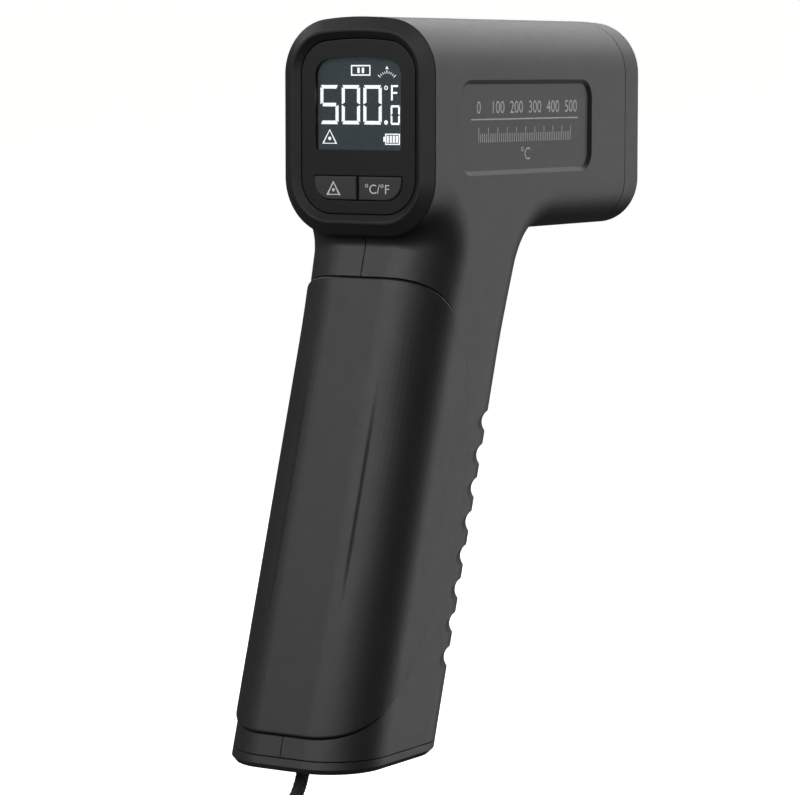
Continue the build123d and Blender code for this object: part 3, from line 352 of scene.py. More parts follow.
REAR_RIGHT, UP = (0, -1, 0), (0, 0, 1)  # what a user behind the display sees as right and up
SEGMENT_THICK = 0.04
SEGMENT_GAP = 0.06 * MM  # keeps the segments clear of the cell's own face
GAUGE = (7.0, 14.8)  # middle of the gauge mark's arc
GAUGE_TICKS, GAUGE_STEP = 9, 13  # how many, and how many degrees apart
TICK_NEAR, TICK_FAR, MAJOR_FAR, TICK_HALF = 2.2, 2.7, 3.0, 0.07  # radii, and half a tick's width
cell_face = Vector((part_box("lcd_glass")[0].x - SEGMENT_GAP, 0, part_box("display_window")[0].z))


def lcd_segments():
    """A reading with its unit, a gauge mark, a pause mark, a beam mark and a battery mark.

    Places and sizes are in millimetres from the middle of the cell's foot."""
    bm, t = bmesh.new(), SEGMENT_THICK
    big, small = (5.6, 4.9, 8.8, 0.8), (5.6, 2.4, 4.3, 0.42)  # foot, width, height and bar
    for mark, left in (("5", -10.9), ("0", -5.1), ("0", 0.7)):
        digit(bm, mark, left, *big, t)
    stamp(bm, disc(6.75, 6.1, 0.5), t)
    digit(bm, "0", 8.0, *small, t)
    band(bm, disc(6.75, 13.8, 0.5), disc(6.75, 13.8, 0.28), t)
    for bar in ((8.1, 11.0, 8.5, 14.4), (8.6, 14.0, 9.9, 14.4), (8.6, 12.5, 9.7, 12.9)):
        stamp(bm, rectangle(*bar), t)
    band(bm, rectangle(-2.6, 16.5, 2.6, 18.9), rectangle(-2.3, 16.8, 2.3, 18.6), t)
    for left in (-0.9, 0.3):
        stamp(bm, rectangle(left, 17.1, left + 0.6, 18.3), t)
    for index in range(GAUGE_TICKS):
        angle = radians(90 + (GAUGE_TICKS // 2 - index) * GAUGE_STEP)
        long = (TICK_FAR if index % 4 else MAJOR_FAR) - TICK_NEAR
        x, y = GAUGE[0] + TICK_NEAR * cos(angle), GAUGE[1] + TICK_NEAR * sin(angle)
        dx, dy = long * cos(angle), long * sin(angle)
        nx, ny = TICK_HALF * sin(angle), -TICK_HALF * cos(angle)
        far_end = [(x + dx - nx, y + dy - ny), (x + dx + nx, y + dy + ny)]
        stamp(bm, far_end + [(x + nx, y + ny), (x - nx, y - ny)], t)
    stamp(bm, triangle(7.0, 18.0, 0.8, 0.7), t)
    beam_mark(bm, -8.4, 1.2, 4.0, 3.3, 0.16, t)
    band(bm, rectangle(6.5, 1.1, 10.4, 3.6), rectangle(6.75, 1.35, 10.15, 3.35), t)
    stamp(bm, rectangle(6.05, 1.8, 6.5, 2.9), t)
    for index in range(4):
        left = 6.95 + index * 0.8
        stamp(bm, rectangle(left, 1.55, left + 0.55, 3.15), t)
    return bm


cell_place = facing(cell_face, REAR_RIGHT, UP)
segments = to_mesh("lcd_segments", lcd_segments(), cell_place, lit_segment())
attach(segments, "root")

# ==== Light guide, contact strip and frame =======================================================
# Behind the cell are a frosted acrylic light guide and a striped conductive rubber strip, held on
# the board by a white moulded frame.


def soft_polymer(name, low, high, rough, ior, dots):
    """Matt or frosted polymer with a fine relief of a size in metres."""
    material, tree, shader, place = new_material(name)
    tree.links.new(patches(tree, place, 4 * MM, low, high), shader.inputs["Base Color"])
    roughness = uneven(tree, place, 1 * MM, rough - 0.06, rough + 0.06)
    tree.links.new(roughness, shader.inputs["Roughness"])
    shader.inputs["IOR"].default_value = ior
    relief(tree, shader, noise(tree, place, dots), 0.01 * MM, Strength=0.7)
    return material


frosted_acrylic = soft_polymer(
    "frosted_light_guide_acrylic", "#DDE4E8", "#EEF3F5", 0.5, ACRYLIC_IOR, 0.3 * MM
)
dress(frosted_acrylic, "lcd_backlight")
white_abs = soft_polymer("white_satin_abs", "#E2E1DC", "#EDECE8", 0.45, PLASTIC_IOR, 0.4 * MM)
dress(white_abs, "lcd_frame")
WAVE_TURN = 0.314  # a wave texture of this scale repeats once in a metre


def striped_rubber():
    """Conductive rubber: black and pale layers 0.2 mm apart, drawn at 0.5 mm to show."""
    material, tree, shader, place = new_material("layered_conductive_rubber")
    stripes = {"Vector": place, "Scale": WAVE_TURN / (0.5 * MM)}
    layers = add_node(tree, "ShaderNodeTexWave", stripes, bands_direction="Y").outputs["Fac"]
    tree.links.new(between(tree, layers, "#1E1E20", "#A9A4B0"), shader.inputs["Base Color"])
    tree.links.new(uneven(tree, place, 1 * MM, 0.65, 0.8), shader.inputs["Roughness"])
    relief(tree, shader, layers, 0.02 * MM)
    return material


dress(striped_rubber(), "lcd_contact_strip")

# ==== Keys and their printed marks ===============================================================
# Two ABS keys sit in the plate, each on its own switch. They are grained like the bezel but a shade
# lighter. Their marks are pad-printed in white ink, a layer that stands a hair proud.

key_abs = moulded_abs(
    "fine_grained_dark_grey_abs", "#363637", "#3B3B3C", 0.5, FINE_GRAIN, 0.008 * MM
)
dress(key_abs, "laser_button", "unit_button")


def pad_print(name, low, high):
    """Pad-printed ink: flat colour with thin patches and a slight orange peel."""
    material, tree, shader, place = new_material(name)
    tree.links.new(patches(tree, place, 0.8 * MM, low, high), shader.inputs["Base Color"])
    tree.links.new(uneven(tree, place, 0.6 * MM, 0.45, 0.6), shader.inputs["Roughness"])
    relief(tree, shader, noise(tree, place, 0.3 * MM), 0.006 * MM)
    return material


INK_THICK = 0.03
INK_SHIFT = 0.005 * MM  # the keys' ink is this far off its face, the scale's this far into it
CAPITALS = 0.69  # height of the built-in face's capitals, as a share of its size
white_ink = pad_print("white_pad_printing_ink", "#D6D6D4", "#E6E6E4")


def add_text(bm, text, x, y, size):
    """Adds plain lettering of a cap height in millimetres, centred at x with its foot at y."""
    curve = bpy.data.curves.new("lettering", "FONT")
    curve.body = text
    curve.align_x = "CENTER"
    curve.size = size / CAPITALS
    curve.extrude = INK_THICK / 2
    curve.resolution_u = 4
    holder = bpy.data.objects.new("lettering", curve)
    bpy.context.scene.collection.objects.link(holder)
    bpy.context.view_layer.update()
    mesh = bpy.data.meshes.new_from_object(holder)
    mesh.transform(Matrix.Translation((x, y, INK_THICK / 2)))
    bm.from_mesh(mesh)
    bpy.data.objects.remove(holder)
    bpy.data.meshes.remove(mesh)
    bpy.data.curves.remove(curve)


def key_face(name):
    """The middle of the foot of a key's face."""
    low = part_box(name)[0]
    return Vector((low.x - INK_SHIFT, 0, low.z))


beam_ink = bmesh.new()
beam_mark(beam_ink, -6.4, 1.75, 3.9, 3.2, 0.24, INK_THICK)
beam_place = facing(key_face("laser_button"), REAR_RIGHT, UP)
beam_print = to_mesh("laser_key_mark", beam_ink, beam_place, white_ink)
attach(beam_print, "laser_button")

unit_ink = bmesh.new()
add_text(unit_ink, "°C/°F", 5.3, 2.2, 2.05)
unit_place = facing(key_face("unit_button"), REAR_RIGHT, UP)
unit_print = to_mesh("unit_key_mark", unit_ink, unit_place, white_ink)
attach(unit_print, "unit_button")

# ==== Side scale in the barrel's pockets =========================================================
# Each flank has a shallow pocket with a pad-printed temperature scale: plain figures, a rule and
# the scale's ticks. The print is pale grey ink on the pocket's floor.

grey_ink = pad_print("pale_grey_pad_printing_ink", "#DADADB", "#E4E4E5")
POCKET_FLOOR = 19.5 * MM
SCALE_MIDDLE = (35.1 * MM, 84.8 * MM)  # x and z of the pocket's middle
TICKS = 51
TICK_HIGH = 2.0
MAJOR_EVERY, MAJOR_STRETCH = 5.0, 1.7
SCALE_LENGTH = 42.0
FIGURE_HIGH = 2.8
FIGURE_FOOT, RULE_FOOT, RULE_TOP, TICK_FOOT, UNIT_FOOT = 3.2, 1.7, 2.0, -3.4, -7.6
RULE_END = SCALE_LENGTH / 2 + 3.4  # the rule runs on past the last tick


def maths(tree, operation, a, b=0.0):
    """Result of a maths node."""
    return add_node(tree, "ShaderNodeMath", {0: a, 1: b}, operation=operation).outputs[0]


def vector(tree, **parts):
    """A vector of numbers or sockets, with 0 for a part that isn't given."""
    return add_node(tree, "ShaderNodeCombineXYZ", parts).outputs[0]


def tick_tree():
    """Geometry Nodes: upright ticks along a line, every fifth one longer."""
    tree = bpy.data.node_groups.new("scale_ticks", "GeometryNodeTree")
    for label, kind, default in (
        ("Count", "NodeSocketInt", TICKS),
        ("Length", "NodeSocketFloat", SCALE_LENGTH),
        ("Height", "NodeSocketFloat", TICK_HIGH),
        ("Line", "NodeSocketFloat", 0.22),
        ("Material", "NodeSocketMaterial", None),
    ):
        socket = tree.interface.new_socket(label, in_out="INPUT", socket_type=kind)
        if default is not None:
            socket.default_value = default
    tree.interface.new_socket("Geometry", in_out="OUTPUT", socket_type="NodeSocketGeometry")
    given = add_node(tree, "NodeGroupInput").outputs
    step = maths(tree, "DIVIDE", given["Length"], maths(tree, "SUBTRACT", given["Count"], 1.0))
    start = vector(tree, X=maths(tree, "MULTIPLY", given["Length"], -0.5))
    row = {"Count": given["Count"], "Start Location": start, "Offset": vector(tree, X=step)}
    line = add_node(tree, "GeometryNodeMeshLine", row)
    size = vector(tree, X=given["Line"], Y=given["Height"], Z=INK_THICK)
    bar = add_node(tree, "GeometryNodeMeshCube", {"Size": size}).outputs["Mesh"]
    lift = vector(tree, Y=maths(tree, "MULTIPLY", given["Height"], 0.5), Z=INK_THICK / 2)
    raised = add_node(tree, "GeometryNodeTransform", {"Geometry": bar, "Translation": lift})
    index = add_node(tree, "GeometryNodeInputIndex").outputs[0]
    minor = maths(tree, "GREATER_THAN", maths(tree, "MODULO", index, MAJOR_EVERY), 0.5)
    heights = {"Value": minor, "To Min": MAJOR_STRETCH, "To Max": 1.0}
    tall = add_node(tree, "ShaderNodeMapRange", heights).outputs[0]
    stretch = vector(tree, X=1.0, Y=tall, Z=1.0)
    placed = add_node(
        tree,
        "GeometryNodeInstanceOnPoints",
        {"Points": line.outputs["Mesh"], "Instance": raised.outputs[0], "Scale": stretch},
    )
    real = add_node(tree, "GeometryNodeRealizeInstances", {"Geometry": placed.outputs[0]})
    layer = {"Geometry": real.outputs[0], "Material": given["Material"]}
    inked = add_node(tree, "GeometryNodeSetMaterial", layer)
    add_node(tree, "NodeGroupOutput", {"Geometry": inked.outputs[0]})
    return tree


def grown(name, tree, values, source=None):
    """Runs a Geometry Nodes tree on a carrier and returns the plain mesh that it makes."""
    carrier = source or bpy.data.objects.new(name, bpy.data.meshes.new(name))
    if not source:
        bpy.context.scene.collection.objects.link(carrier)
    modifier = carrier.modifiers.new("grow", "NODES")
    modifier.node_group = tree
    for item in tree.interface.items_tree:
        if item.item_type == "SOCKET" and item.in_out == "INPUT" and item.name in values:
            modifier[item.identifier] = values[item.name]
    carrier.update_tag()
    bpy.context.view_layer.update()
    ready = carrier.evaluated_get(bpy.context.evaluated_depsgraph_get())
    mesh = bpy.data.meshes.new_from_object(ready)
    carrier.modifiers.remove(modifier)
    bpy.data.objects.remove(carrier)
    return mesh


tick_inputs = {"Count": TICKS, "Length": SCALE_LENGTH, "Height": TICK_HIGH}
ticks = grown("ticks", tick_tree(), {**tick_inputs, "Material": grey_ink})
for side, name in ((-1, "right_scale_print"), (1, "left_scale_print")):
    ink = bmesh.new()
    ink.from_mesh(ticks)
    bmesh.ops.translate(ink, verts=ink.verts, vec=(0, TICK_FOOT, 0))
    for step in range(6):
        add_text(ink, str(step * 100), SCALE_LENGTH * (step / 5 - 0.5), FIGURE_FOOT, FIGURE_HIGH)
    stamp(ink, rectangle(-RULE_END, RULE_FOOT, RULE_END, RULE_TOP), INK_THICK)
    add_text(ink, "°C", 0, UNIT_FOOT, FIGURE_HIGH)
    floor_point = Vector((SCALE_MIDDLE[0], side * (POCKET_FLOOR - INK_SHIFT), SCALE_MIDDLE[1]))
    printed = to_mesh(name, ink, facing(floor_point, (-side, 0, 0), UP), grey_ink)
    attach(printed, "root")
bpy.data.meshes.remove(ticks)

# ==== Boards and what is on them =================================================================
# Glass-epoxy circuit boards with green solder mask over copper traces. Switches, chips, coil and
# sounder are black moulded parts, reflow-soldered or clipped in place.


def solder_masked_board():
    """Green mask, glossy, over traces 0.6 mm apart that show as paler raised lines."""
    material, tree, shader, place = new_material("green_solder_masked_board")
    pattern = {"Vector": place, "Scale": 1 / (4 * MM), "Mortar Size": 0.06}
    cells = add_node(tree, "ShaderNodeTexBrick", pattern)
    cells.inputs["Color1"].default_value = linear("#0F4A2A")
    cells.inputs["Color2"].default_value = linear("#124F2E")
    cells.inputs["Mortar"].default_value = linear("#2C7A4A")
    tree.links.new(cells.outputs["Color"], shader.inputs["Base Color"])
    tree.links.new(uneven(tree, place, 2 * MM, 0.22, 0.34), shader.inputs["Roughness"])
    shader.inputs["IOR"].default_value = 1.5
    relief(tree, shader, cells.outputs["Fac"], 0.03 * MM)
    return material


dress(solder_masked_board(), "main_board", "sensor_board", "laser_board", "switch_board")
dress(
    soft_polymer("black_satin_moulding", "#1B1B1C", "#222223", 0.48, PLASTIC_IOR, FINE_GRAIN),
    "key_switches",
    "board_parts",
    "buzzer",
    "trigger_switch",
)

# ==== Sensor: tube, lens, ring and thermopile ====================================================
# A turned aluminium tube, black anodised, holds a dark coated infrared lens in front and the
# nickel-plated can of the thermopile behind. A threaded ring keeps the lens in.


def turned_metal(name, low, high, metallic, rough, feed):
    """Turned metal: rings across its axis, a tool feed apart."""
    material, tree, shader, place = new_material(name)
    shader.inputs["Metallic"].default_value = metallic
    tree.links.new(patches(tree, place, 3 * MM, low, high), shader.inputs["Base Color"])
    roughness = uneven(tree, place, 1 * MM, rough - 0.05, rough + 0.07)
    tree.links.new(roughness, shader.inputs["Roughness"])
    turns = {"Vector": place, "Scale": WAVE_TURN / feed}
    rings = add_node(tree, "ShaderNodeTexWave", turns, bands_direction="X")
    relief(tree, shader, rings.outputs["Fac"], 0.01 * MM, Strength=0.6)
    return material


dress(
    turned_metal("black_anodised_aluminium", "#161617", "#1E1E1F", 0.4, 0.38, 0.4 * MM),
    "sensor_tube",
    "lens_ring",
)
dress(turned_metal("turned_brass", "#B98F4A", "#C9A25B", 1.0, 0.3, 0.35 * MM), "laser_module")
nickel_plate = plated_steel("nickel_plated_steel", "#B5B1A8", "#C6C3BC", 0.26, 0.3 * MM)
dress(nickel_plate, "thermopile", "battery_contacts")


def coated_lens():
    """Dark infrared lens: polished, with a thin coating that shifts the sheen."""
    material, tree, shader, place = new_material("coated_infrared_lens")
    tree.links.new(patches(tree, place, 5 * MM, "#2B2422", "#352A2C"), shader.inputs["Base Color"])
    tree.links.new(uneven(tree, place, 2 * MM, 0.06, 0.1), shader.inputs["Roughness"])
    shader.inputs["Metallic"].default_value = 0.35
    shader.inputs["Coat Weight"].default_value = 1.0
    shader.inputs["Coat Roughness"].default_value = 0.04
    return material


dress(coated_lens(), "infrared_lens")

# ==== Trigger and its spring =====================================================================
# The trigger is a black ABS lever, polished a little by the finger, that swings on the steel pin.
# Its return spring and the battery springs are nickel-plated music wire. The return spring runs
# from the web at its rear end to the trigger at its front end; it is drawn as a fixed copy of its
# coil.

lever_abs = moulded_abs("satin_black_lever_abs", "#1F1F20", "#252526", 0.38, 0.4 * MM, 0.005 * MM)
dress(lever_abs, "trigger")
spring_wire = plated_steel("nickel_plated_spring_wire", "#BCBAB5", "#CFCDC9", 0.24, 0.2 * MM)
dress(spring_wire, "trigger_spring", "battery_springs")

return_spring = bpy.data.objects.new("coiled_return_spring", nodes["trigger_spring"].data.copy())
bpy.context.scene.collection.objects.link(return_spring)
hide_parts("trigger_spring")
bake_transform(return_spring)

# ==== Battery tray, cells and wires ==============================================================
# A black moulded tray behind the cover holds two cells side by side, nub up and nub down. Each cell
# is a nickel-plated can in a printed shrink sleeve. The leads are PVC-jacketed.

tray_abs = soft_polymer(
    "black_grained_tray_abs", "#202021", "#28282A", 0.55, PLASTIC_IOR, 0.4 * MM
)
dress(tray_abs, "battery_tray")
LEAN = radians(17.4)  # of the grip and the cells from upright
CELL_MIDDLE = -3 * MM  # along the lean
CELL_SHOULDER = 22.0 * MM  # from the cells' middle to the sleeve's end


def shrink_sleeve(name, way):
    """Printed sleeve: dark body, a copper-coloured band at the nub's end, bare ends."""
    material, tree, shader, place = new_material(name)
    along = add_node(tree, "ShaderNodeMapping", {"Vector": place, "Rotation": (0, -LEAN, 0)})
    height = add_node(tree, "ShaderNodeSeparateXYZ", {"Vector": along.outputs[0]})
    reach = way * CELL_SHOULDER
    ends = {"From Min": CELL_MIDDLE - reach, "From Max": CELL_MIDDLE + reach}
    share = add_node(tree, "ShaderNodeMapRange", {"Value": height.outputs["Z"], **ends})
    ramp = add_node(tree, "ShaderNodeValToRGB", {"Fac": share.outputs["Result"]})
    ramp.color_ramp.interpolation = "CONSTANT"
    stops = (
        (0.0, "#B4B2AC"),
        (0.03, "#1F2A3C"),
        (0.66, "#D8D9DA"),
        (0.675, "#B4713B"),
        (0.97, "#B4B2AC"),
    )
    for index, (at, colour) in enumerate(stops):
        point = ramp.color_ramp.elements[0] if index == 0 else ramp.color_ramp.elements.new(at)
        point.position = at
        point.color = linear(colour)
    ramp.color_ramp.elements.remove(ramp.color_ramp.elements[-1])
    tree.links.new(ramp.outputs["Color"], shader.inputs["Base Color"])
    tree.links.new(uneven(tree, place, 3 * MM, 0.22, 0.34), shader.inputs["Roughness"])
    shader.inputs["Metallic"].default_value = 0.55
    relief(tree, shader, noise(tree, place, 5 * MM), 0.03 * MM)
    return material


dress(shrink_sleeve("printed_shrink_sleeve_nub_up", 1), "battery_1")
dress(shrink_sleeve("printed_shrink_sleeve_nub_down", -1), "battery_2")
dress(soft_polymer("red_pvc_jacket", "#8E1D17", "#A2251D", 0.42, 1.52, 0.5 * MM), "wire_harness")

# ==== Battery cover ==============================================================================
# The cover wraps round the grip's back and stands 0.6 mm proud of it. It is the same ABS, a shade
# darker. Two shallow creases run down it, one each side of its flat middle, and fade at both ends.

cover_abs = moulded_abs("matt_dark_cover_abs", "#222223", "#242425", 0.5, GRAIN, 0.012 * MM)
CREASE_Y = 9.4 * MM
CREASE_DEPTH = 0.38 * MM
CREASE_STEP = 1.1 * MM  # width of the step down
CREASE_RUN = 7.5 * MM  # width over which the skin comes back up
CREASE_TOP, CREASE_TOP_FADE = 33 * MM, 20 * MM
CREASE_FOOT, CREASE_FOOT_FADE = -25 * MM, 18 * MM
COVER_CORNER = 13.6 * MM
COVER_FLAT = 6.0 * MM  # half width of the flat middle
GRIP_BACK, COVER_PROUD = -21.25 * MM, 0.6 * MM
COVER_BACK = GRIP_BACK - COVER_PROUD / cos(LEAN)  # x of the cover's skin at z = 0
NET_STEPS = (*range(-4, 5), 7, 11, 16, 22, 28, 36)  # cuts across a crease, close at its step
NET_GAP, NET_ROW = 0.22 * MM, 2.5 * MM  # one step across, and from row to row
SKIN_BAND = 0.05 * MM  # a vertex this close to the outer skin belongs to it
WELD, CUT_CLEAR, SLIVER = 0.002 * MM, 0.0005 * MM, 0.02 * MM
SHARP_EDGE = radians(32)


def eased(value):
    """Smooth step between 0 and 1."""
    value = min(1.0, max(0.0, value))
    return value * value * (3 - 2 * value)


def crease_depth(y, z):
    """How far the skin is drawn in at a distance from the middle and a height."""
    across = abs(y) - CREASE_Y + CREASE_STEP / 2
    down = eased(across / CREASE_STEP)
    back = 1 - eased((across - CREASE_STEP) / CREASE_RUN)
    ends = eased((CREASE_TOP - z) / CREASE_TOP_FADE) * eased((z - CREASE_FOOT) / CREASE_FOOT_FADE)
    return CREASE_DEPTH * down * back * ends


def creased_cover():
    """Copy of the cover's skin, cut into a net along the creases and drawn in there."""
    bm = bmesh.new()
    bm.from_mesh(nodes["battery_cover"].data)
    bmesh.ops.remove_doubles(bm, verts=bm.verts, dist=WELD)
    low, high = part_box("battery_cover")
    rows = int((high.z - low.z) / NET_ROW)
    cuts = [
        (Vector((0, side, 0)), Vector((0, side * (CREASE_Y + step * NET_GAP), 0)))
        for side in (-1, 1)
        for step in NET_STEPS
    ]
    for row in range(1, rows):
        cuts.append((Vector((0, 0, 1)), Vector((0, 0, low.z + (high.z - low.z) * row / rows))))
    for normal, point in cuts:
        whole = bm.verts[:] + bm.edges[:] + bm.faces[:]
        bmesh.ops.bisect_plane(bm, geom=whole, dist=CUT_CLEAR, plane_co=point, plane_no=normal)
    for vert in bm.verts:
        x, y, z = vert.co
        depth = (x - COVER_BACK - z * tan(LEAN)) * cos(LEAN)  # square to the back's plane
        reach = max(0.0, abs(y) - COVER_FLAT)
        if reach >= COVER_CORNER:
            continue
        turn = asin(reach / COVER_CORNER)
        skin = COVER_CORNER * (1 - cos(turn))
        if abs(depth - skin) < SKIN_BAND:
            outward = 1 if y > 0 else -1
            inward = (cos(turn) * cos(LEAN), -sin(turn) * outward, -cos(turn) * sin(LEAN))
            vert.co += Vector(inward) * crease_depth(y, z)
    bmesh.ops.dissolve_degenerate(bm, dist=SLIVER, edges=bm.edges[:])
    mesh = bpy.data.meshes.new("creased_battery_cover")
    bm.to_mesh(mesh)
    bm.free()
    mesh.shade_smooth()
    mesh.set_sharp_from_angle(angle=SHARP_EDGE)
    mesh.materials.clear()
    mesh.materials.append(cover_abs)
    return mesh


cover = bpy.data.objects.new("creased_battery_cover", creased_cover())
bpy.context.scene.collection.objects.link(cover)
# Normals weighed by area keep the net's narrow faces from showing as blotches on the flat skin.
weigh = cover.modifiers.new("area_weighted_normals", "WEIGHTED_NORMAL")
weigh.keep_sharp = True
baked = bpy.data.meshes.new_from_object(cover.evaluated_get(bpy.context.evaluated_depsgraph_get()))
cover.modifiers.remove(weigh)
cover.data = baked
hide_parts("battery_cover")
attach(cover, "battery_cover")

# ==== Wrist cord =================================================================================
# A 3 mm round cord, braided from sixteen black polyester strands, eight each way, over a core. It
# comes out of the foot, goes through a crimped sleeve, hangs in a loop and ends in the same sleeve.

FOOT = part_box("base_cap")[0].z
CORD_EXIT = (-27.9 * MM, 0.0, FOOT)
CORD_ROUTE = (  # x, y and z from the exit, in millimetres
    (0.0, 0.0, 4.5),
    (0.0, 0.0, -2.5),
    (-5.6, 0.4, -10.0),
    (-7.6, 1.0, -21.0),
    (-8.4, 1.4, -33.0),
    (-16.0, 4.0, -49.0),
    (-26.5, 8.0, -67.0),
    (-26.0, 9.5, -87.5),
    (-11.5, 5.0, -101.0),
    (7.5, -2.5, -95.0),
    (14.5, -5.5, -76.5),
    (9.0, -3.5, -57.0),
    (-0.5, -0.8, -42.0),
    (-3.9, 1.0, -30.5),
    (-3.7, 1.2, -24.5),
)


def cord_line(name, points):
    """A smooth curve with these control points."""
    curve = bpy.data.curves.new(name, "CURVE")
    curve.dimensions = "3D"
    spline = curve.splines.new("NURBS")
    spline.points.add(len(points) - 1)
    for point, place in zip(spline.points, points):
        point.co = (*place, 1.0)
    spline.order_u = 3
    spline.use_endpoint_u = True
    spline.resolution_u = 24
    line = bpy.data.objects.new(name, curve)
    bpy.context.scene.collection.objects.link(line)
    return line


def woven_polyester():
    """Dyed polyester yarn: near black, dull, with a faint sheen and fine filaments."""
    material, tree, shader, place = new_material("braided_black_polyester")
    colour = patches(tree, place, 1.2 * MM, "#29292A", "#353536")
    tree.links.new(colour, shader.inputs["Base Color"])
    tree.links.new(uneven(tree, place, 0.8 * MM, 0.72, 0.88), shader.inputs["Roughness"])
    shader.inputs["Sheen Weight"].default_value = 0.25
    shader.inputs["Sheen Roughness"].default_value = 0.4
    relief(tree, shader, noise(tree, place, 0.22 * MM), 0.03 * MM)
    return material


def braid_tree():
    """Geometry Nodes: strands wound both ways round a curve, over and under each other."""
    tree = bpy.data.node_groups.new("round_braid", "GeometryNodeTree")
    tree.interface.new_socket("Geometry", in_out="INPUT", socket_type="NodeSocketGeometry")
    for label, kind, default in (
        ("Radius", "NodeSocketFloat", 1.1 * MM),
        ("Strand", "NodeSocketFloat", 0.36 * MM),
        ("Rise", "NodeSocketFloat", 0.1 * MM),
        ("Pitch", "NodeSocketFloat", 11 * MM),
        ("Ways", "NodeSocketInt", 8),
        ("Steps", "NodeSocketInt", 900),
        ("Core Steps", "NodeSocketInt", 240),
    ):
        socket = tree.interface.new_socket(label, in_out="INPUT", socket_type=kind)
        socket.default_value = default
    tree.interface.new_socket("Material", in_out="INPUT", socket_type="NodeSocketMaterial")
    tree.interface.new_socket("Geometry", in_out="OUTPUT", socket_type="NodeSocketGeometry")
    given = add_node(tree, "NodeGroupInput").outputs

    def times(a, b):
        return maths(tree, "MULTIPLY", a, b)

    def worked(operation, a, b=0.0):
        return maths(tree, operation, a, b)

    def combined(operation, a, key, b):
        ends = {0: a, key: b}
        return add_node(tree, "ShaderNodeVectorMath", ends, operation=operation).outputs[0]

    def tube(line, sides, radius):
        circle = {"Resolution": sides, "Radius": radius}
        profile = add_node(tree, "GeometryNodeCurvePrimitiveCircle", circle).outputs[0]
        swept = {"Curve": line, "Profile Curve": profile, "Fill Caps": True}
        return add_node(tree, "GeometryNodeCurveToMesh", swept).outputs[0]

    def resampled(count):
        spaced = {"Curve": given["Geometry"], "Count": count}
        return add_node(tree, "GeometryNodeResampleCurve", spaced).outputs[0]

    wanted = {"Geometry": resampled(given["Steps"]), "Amount": times(given["Ways"], 2.0)}
    copies = add_node(tree, "GeometryNodeDuplicateElements", wanted, domain="SPLINE")
    which = copies.outputs["Duplicate Index"]
    way = worked("SUBTRACT", 1.0, times(worked("MODULO", which, 2.0), 2.0))
    number = worked("FLOOR", worked("DIVIDE", which, 2.0))
    start = times(worked("DIVIDE", number, given["Ways"]), 2 * pi)
    run = add_node(tree, "GeometryNodeSplineParameter").outputs["Length"]
    turned = times(worked("DIVIDE", run, given["Pitch"]), 2 * pi)
    angle = worked("ADD", times(turned, way), start)
    weave = worked("COSINE", times(turned, given["Ways"]))
    out = worked("ADD", given["Radius"], times(times(weave, way), given["Rise"]))
    normal = add_node(tree, "GeometryNodeInputNormal").outputs[0]
    tangent = add_node(tree, "GeometryNodeInputTangent").outputs[0]
    side = combined("CROSS_PRODUCT", tangent, 1, normal)
    along_normal = combined("SCALE", normal, "Scale", times(worked("COSINE", angle), out))
    along_side = combined("SCALE", side, "Scale", times(worked("SINE", angle), out))
    offset = combined("ADD", along_normal, 1, along_side)
    moved = {"Geometry": copies.outputs[0], "Offset": offset}
    wound = add_node(tree, "GeometryNodeSetPosition", moved).outputs[0]
    joined = add_node(tree, "GeometryNodeJoinGeometry")
    core = tube(resampled(given["Core Steps"]), 12, given["Radius"])
    for mesh in (core, tube(wound, 5, given["Strand"])):
        tree.links.new(mesh, joined.inputs[0])
    real = add_node(tree, "GeometryNodeRealizeInstances", {"Geometry": joined.outputs[0]})
    layer = {"Geometry": real.outputs[0], "Material": given["Material"]}
    dyed = add_node(tree, "GeometryNodeSetMaterial", layer)
    add_node(tree, "NodeGroupOutput", {"Geometry": dyed.outputs[0]})
    return tree


exit_point = Vector(CORD_EXIT)
route = cord_line("cord_route", [exit_point + Vector(p) * MM for p in CORD_ROUTE])
bpy.context.view_layer.update()
plain = bpy.data.meshes.new_from_object(route)
polyester = woven_polyester()
braid_mesh = grown("cord_route", braid_tree(), {"Material": polyester}, source=route)
braid_mesh.name = "braided_wrist_cord"
braid_mesh.shade_smooth()
braid = bpy.data.objects.new("braided_wrist_cord", braid_mesh)
bpy.context.scene.collection.objects.link(braid)
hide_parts("wrist_cord")
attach(braid, "root")

# ==== Stopper knot and sleeve ====================================================================
# Inside the foot the cord is tied in a hard round knot that can't pull through. The sleeve is a
# satin black nylon moulding, crimped on both strands.

KNOT_REACH = 2.05 * MM  # from the knot's middle to its line where it is furthest out
KNOT_STRAND = 1.2 * MM
knot_middle = sum(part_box("cord_knot"), Vector()) / 2


def knot_points(count=72):
    """A three-lobed knot's closed line, small enough for the space in the foot."""
    points = []
    for i in range(count):
        t = 2 * pi * i / count
        lobes = Vector((sin(t) + 2 * sin(2 * t), cos(t) - 2 * cos(2 * t), -sin(3 * t)))
        points.append(knot_middle + lobes * KNOT_REACH / 3)
    return points


knot_curve = bpy.data.curves.new("cord_knot_line", "CURVE")
knot_curve.dimensions = "3D"
knot_curve.bevel_depth = KNOT_STRAND
knot_curve.bevel_resolution = 3
knot_spline = knot_curve.splines.new("POLY")
knot_spline.points.add(len(knot_points()) - 1)
for point, place in zip(knot_spline.points, knot_points()):
    point.co = (*place, 1.0)
knot_spline.use_cyclic_u = True
knot_line = bpy.data.objects.new("cord_knot_line", knot_curve)
bpy.context.scene.collection.objects.link(knot_line)
bpy.context.view_layer.update()
knot_mesh = bpy.data.meshes.new_from_object(knot_line)
bpy.data.objects.remove(knot_line)
knot_mesh.materials.clear()
knot_mesh.materials.append(polyester)
knot_mesh.shade_smooth()
knot = bpy.data.objects.new("tied_stopper_knot", knot_mesh)
bpy.context.scene.collection.objects.link(knot)
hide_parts("cord_knot")
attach(knot, "root")

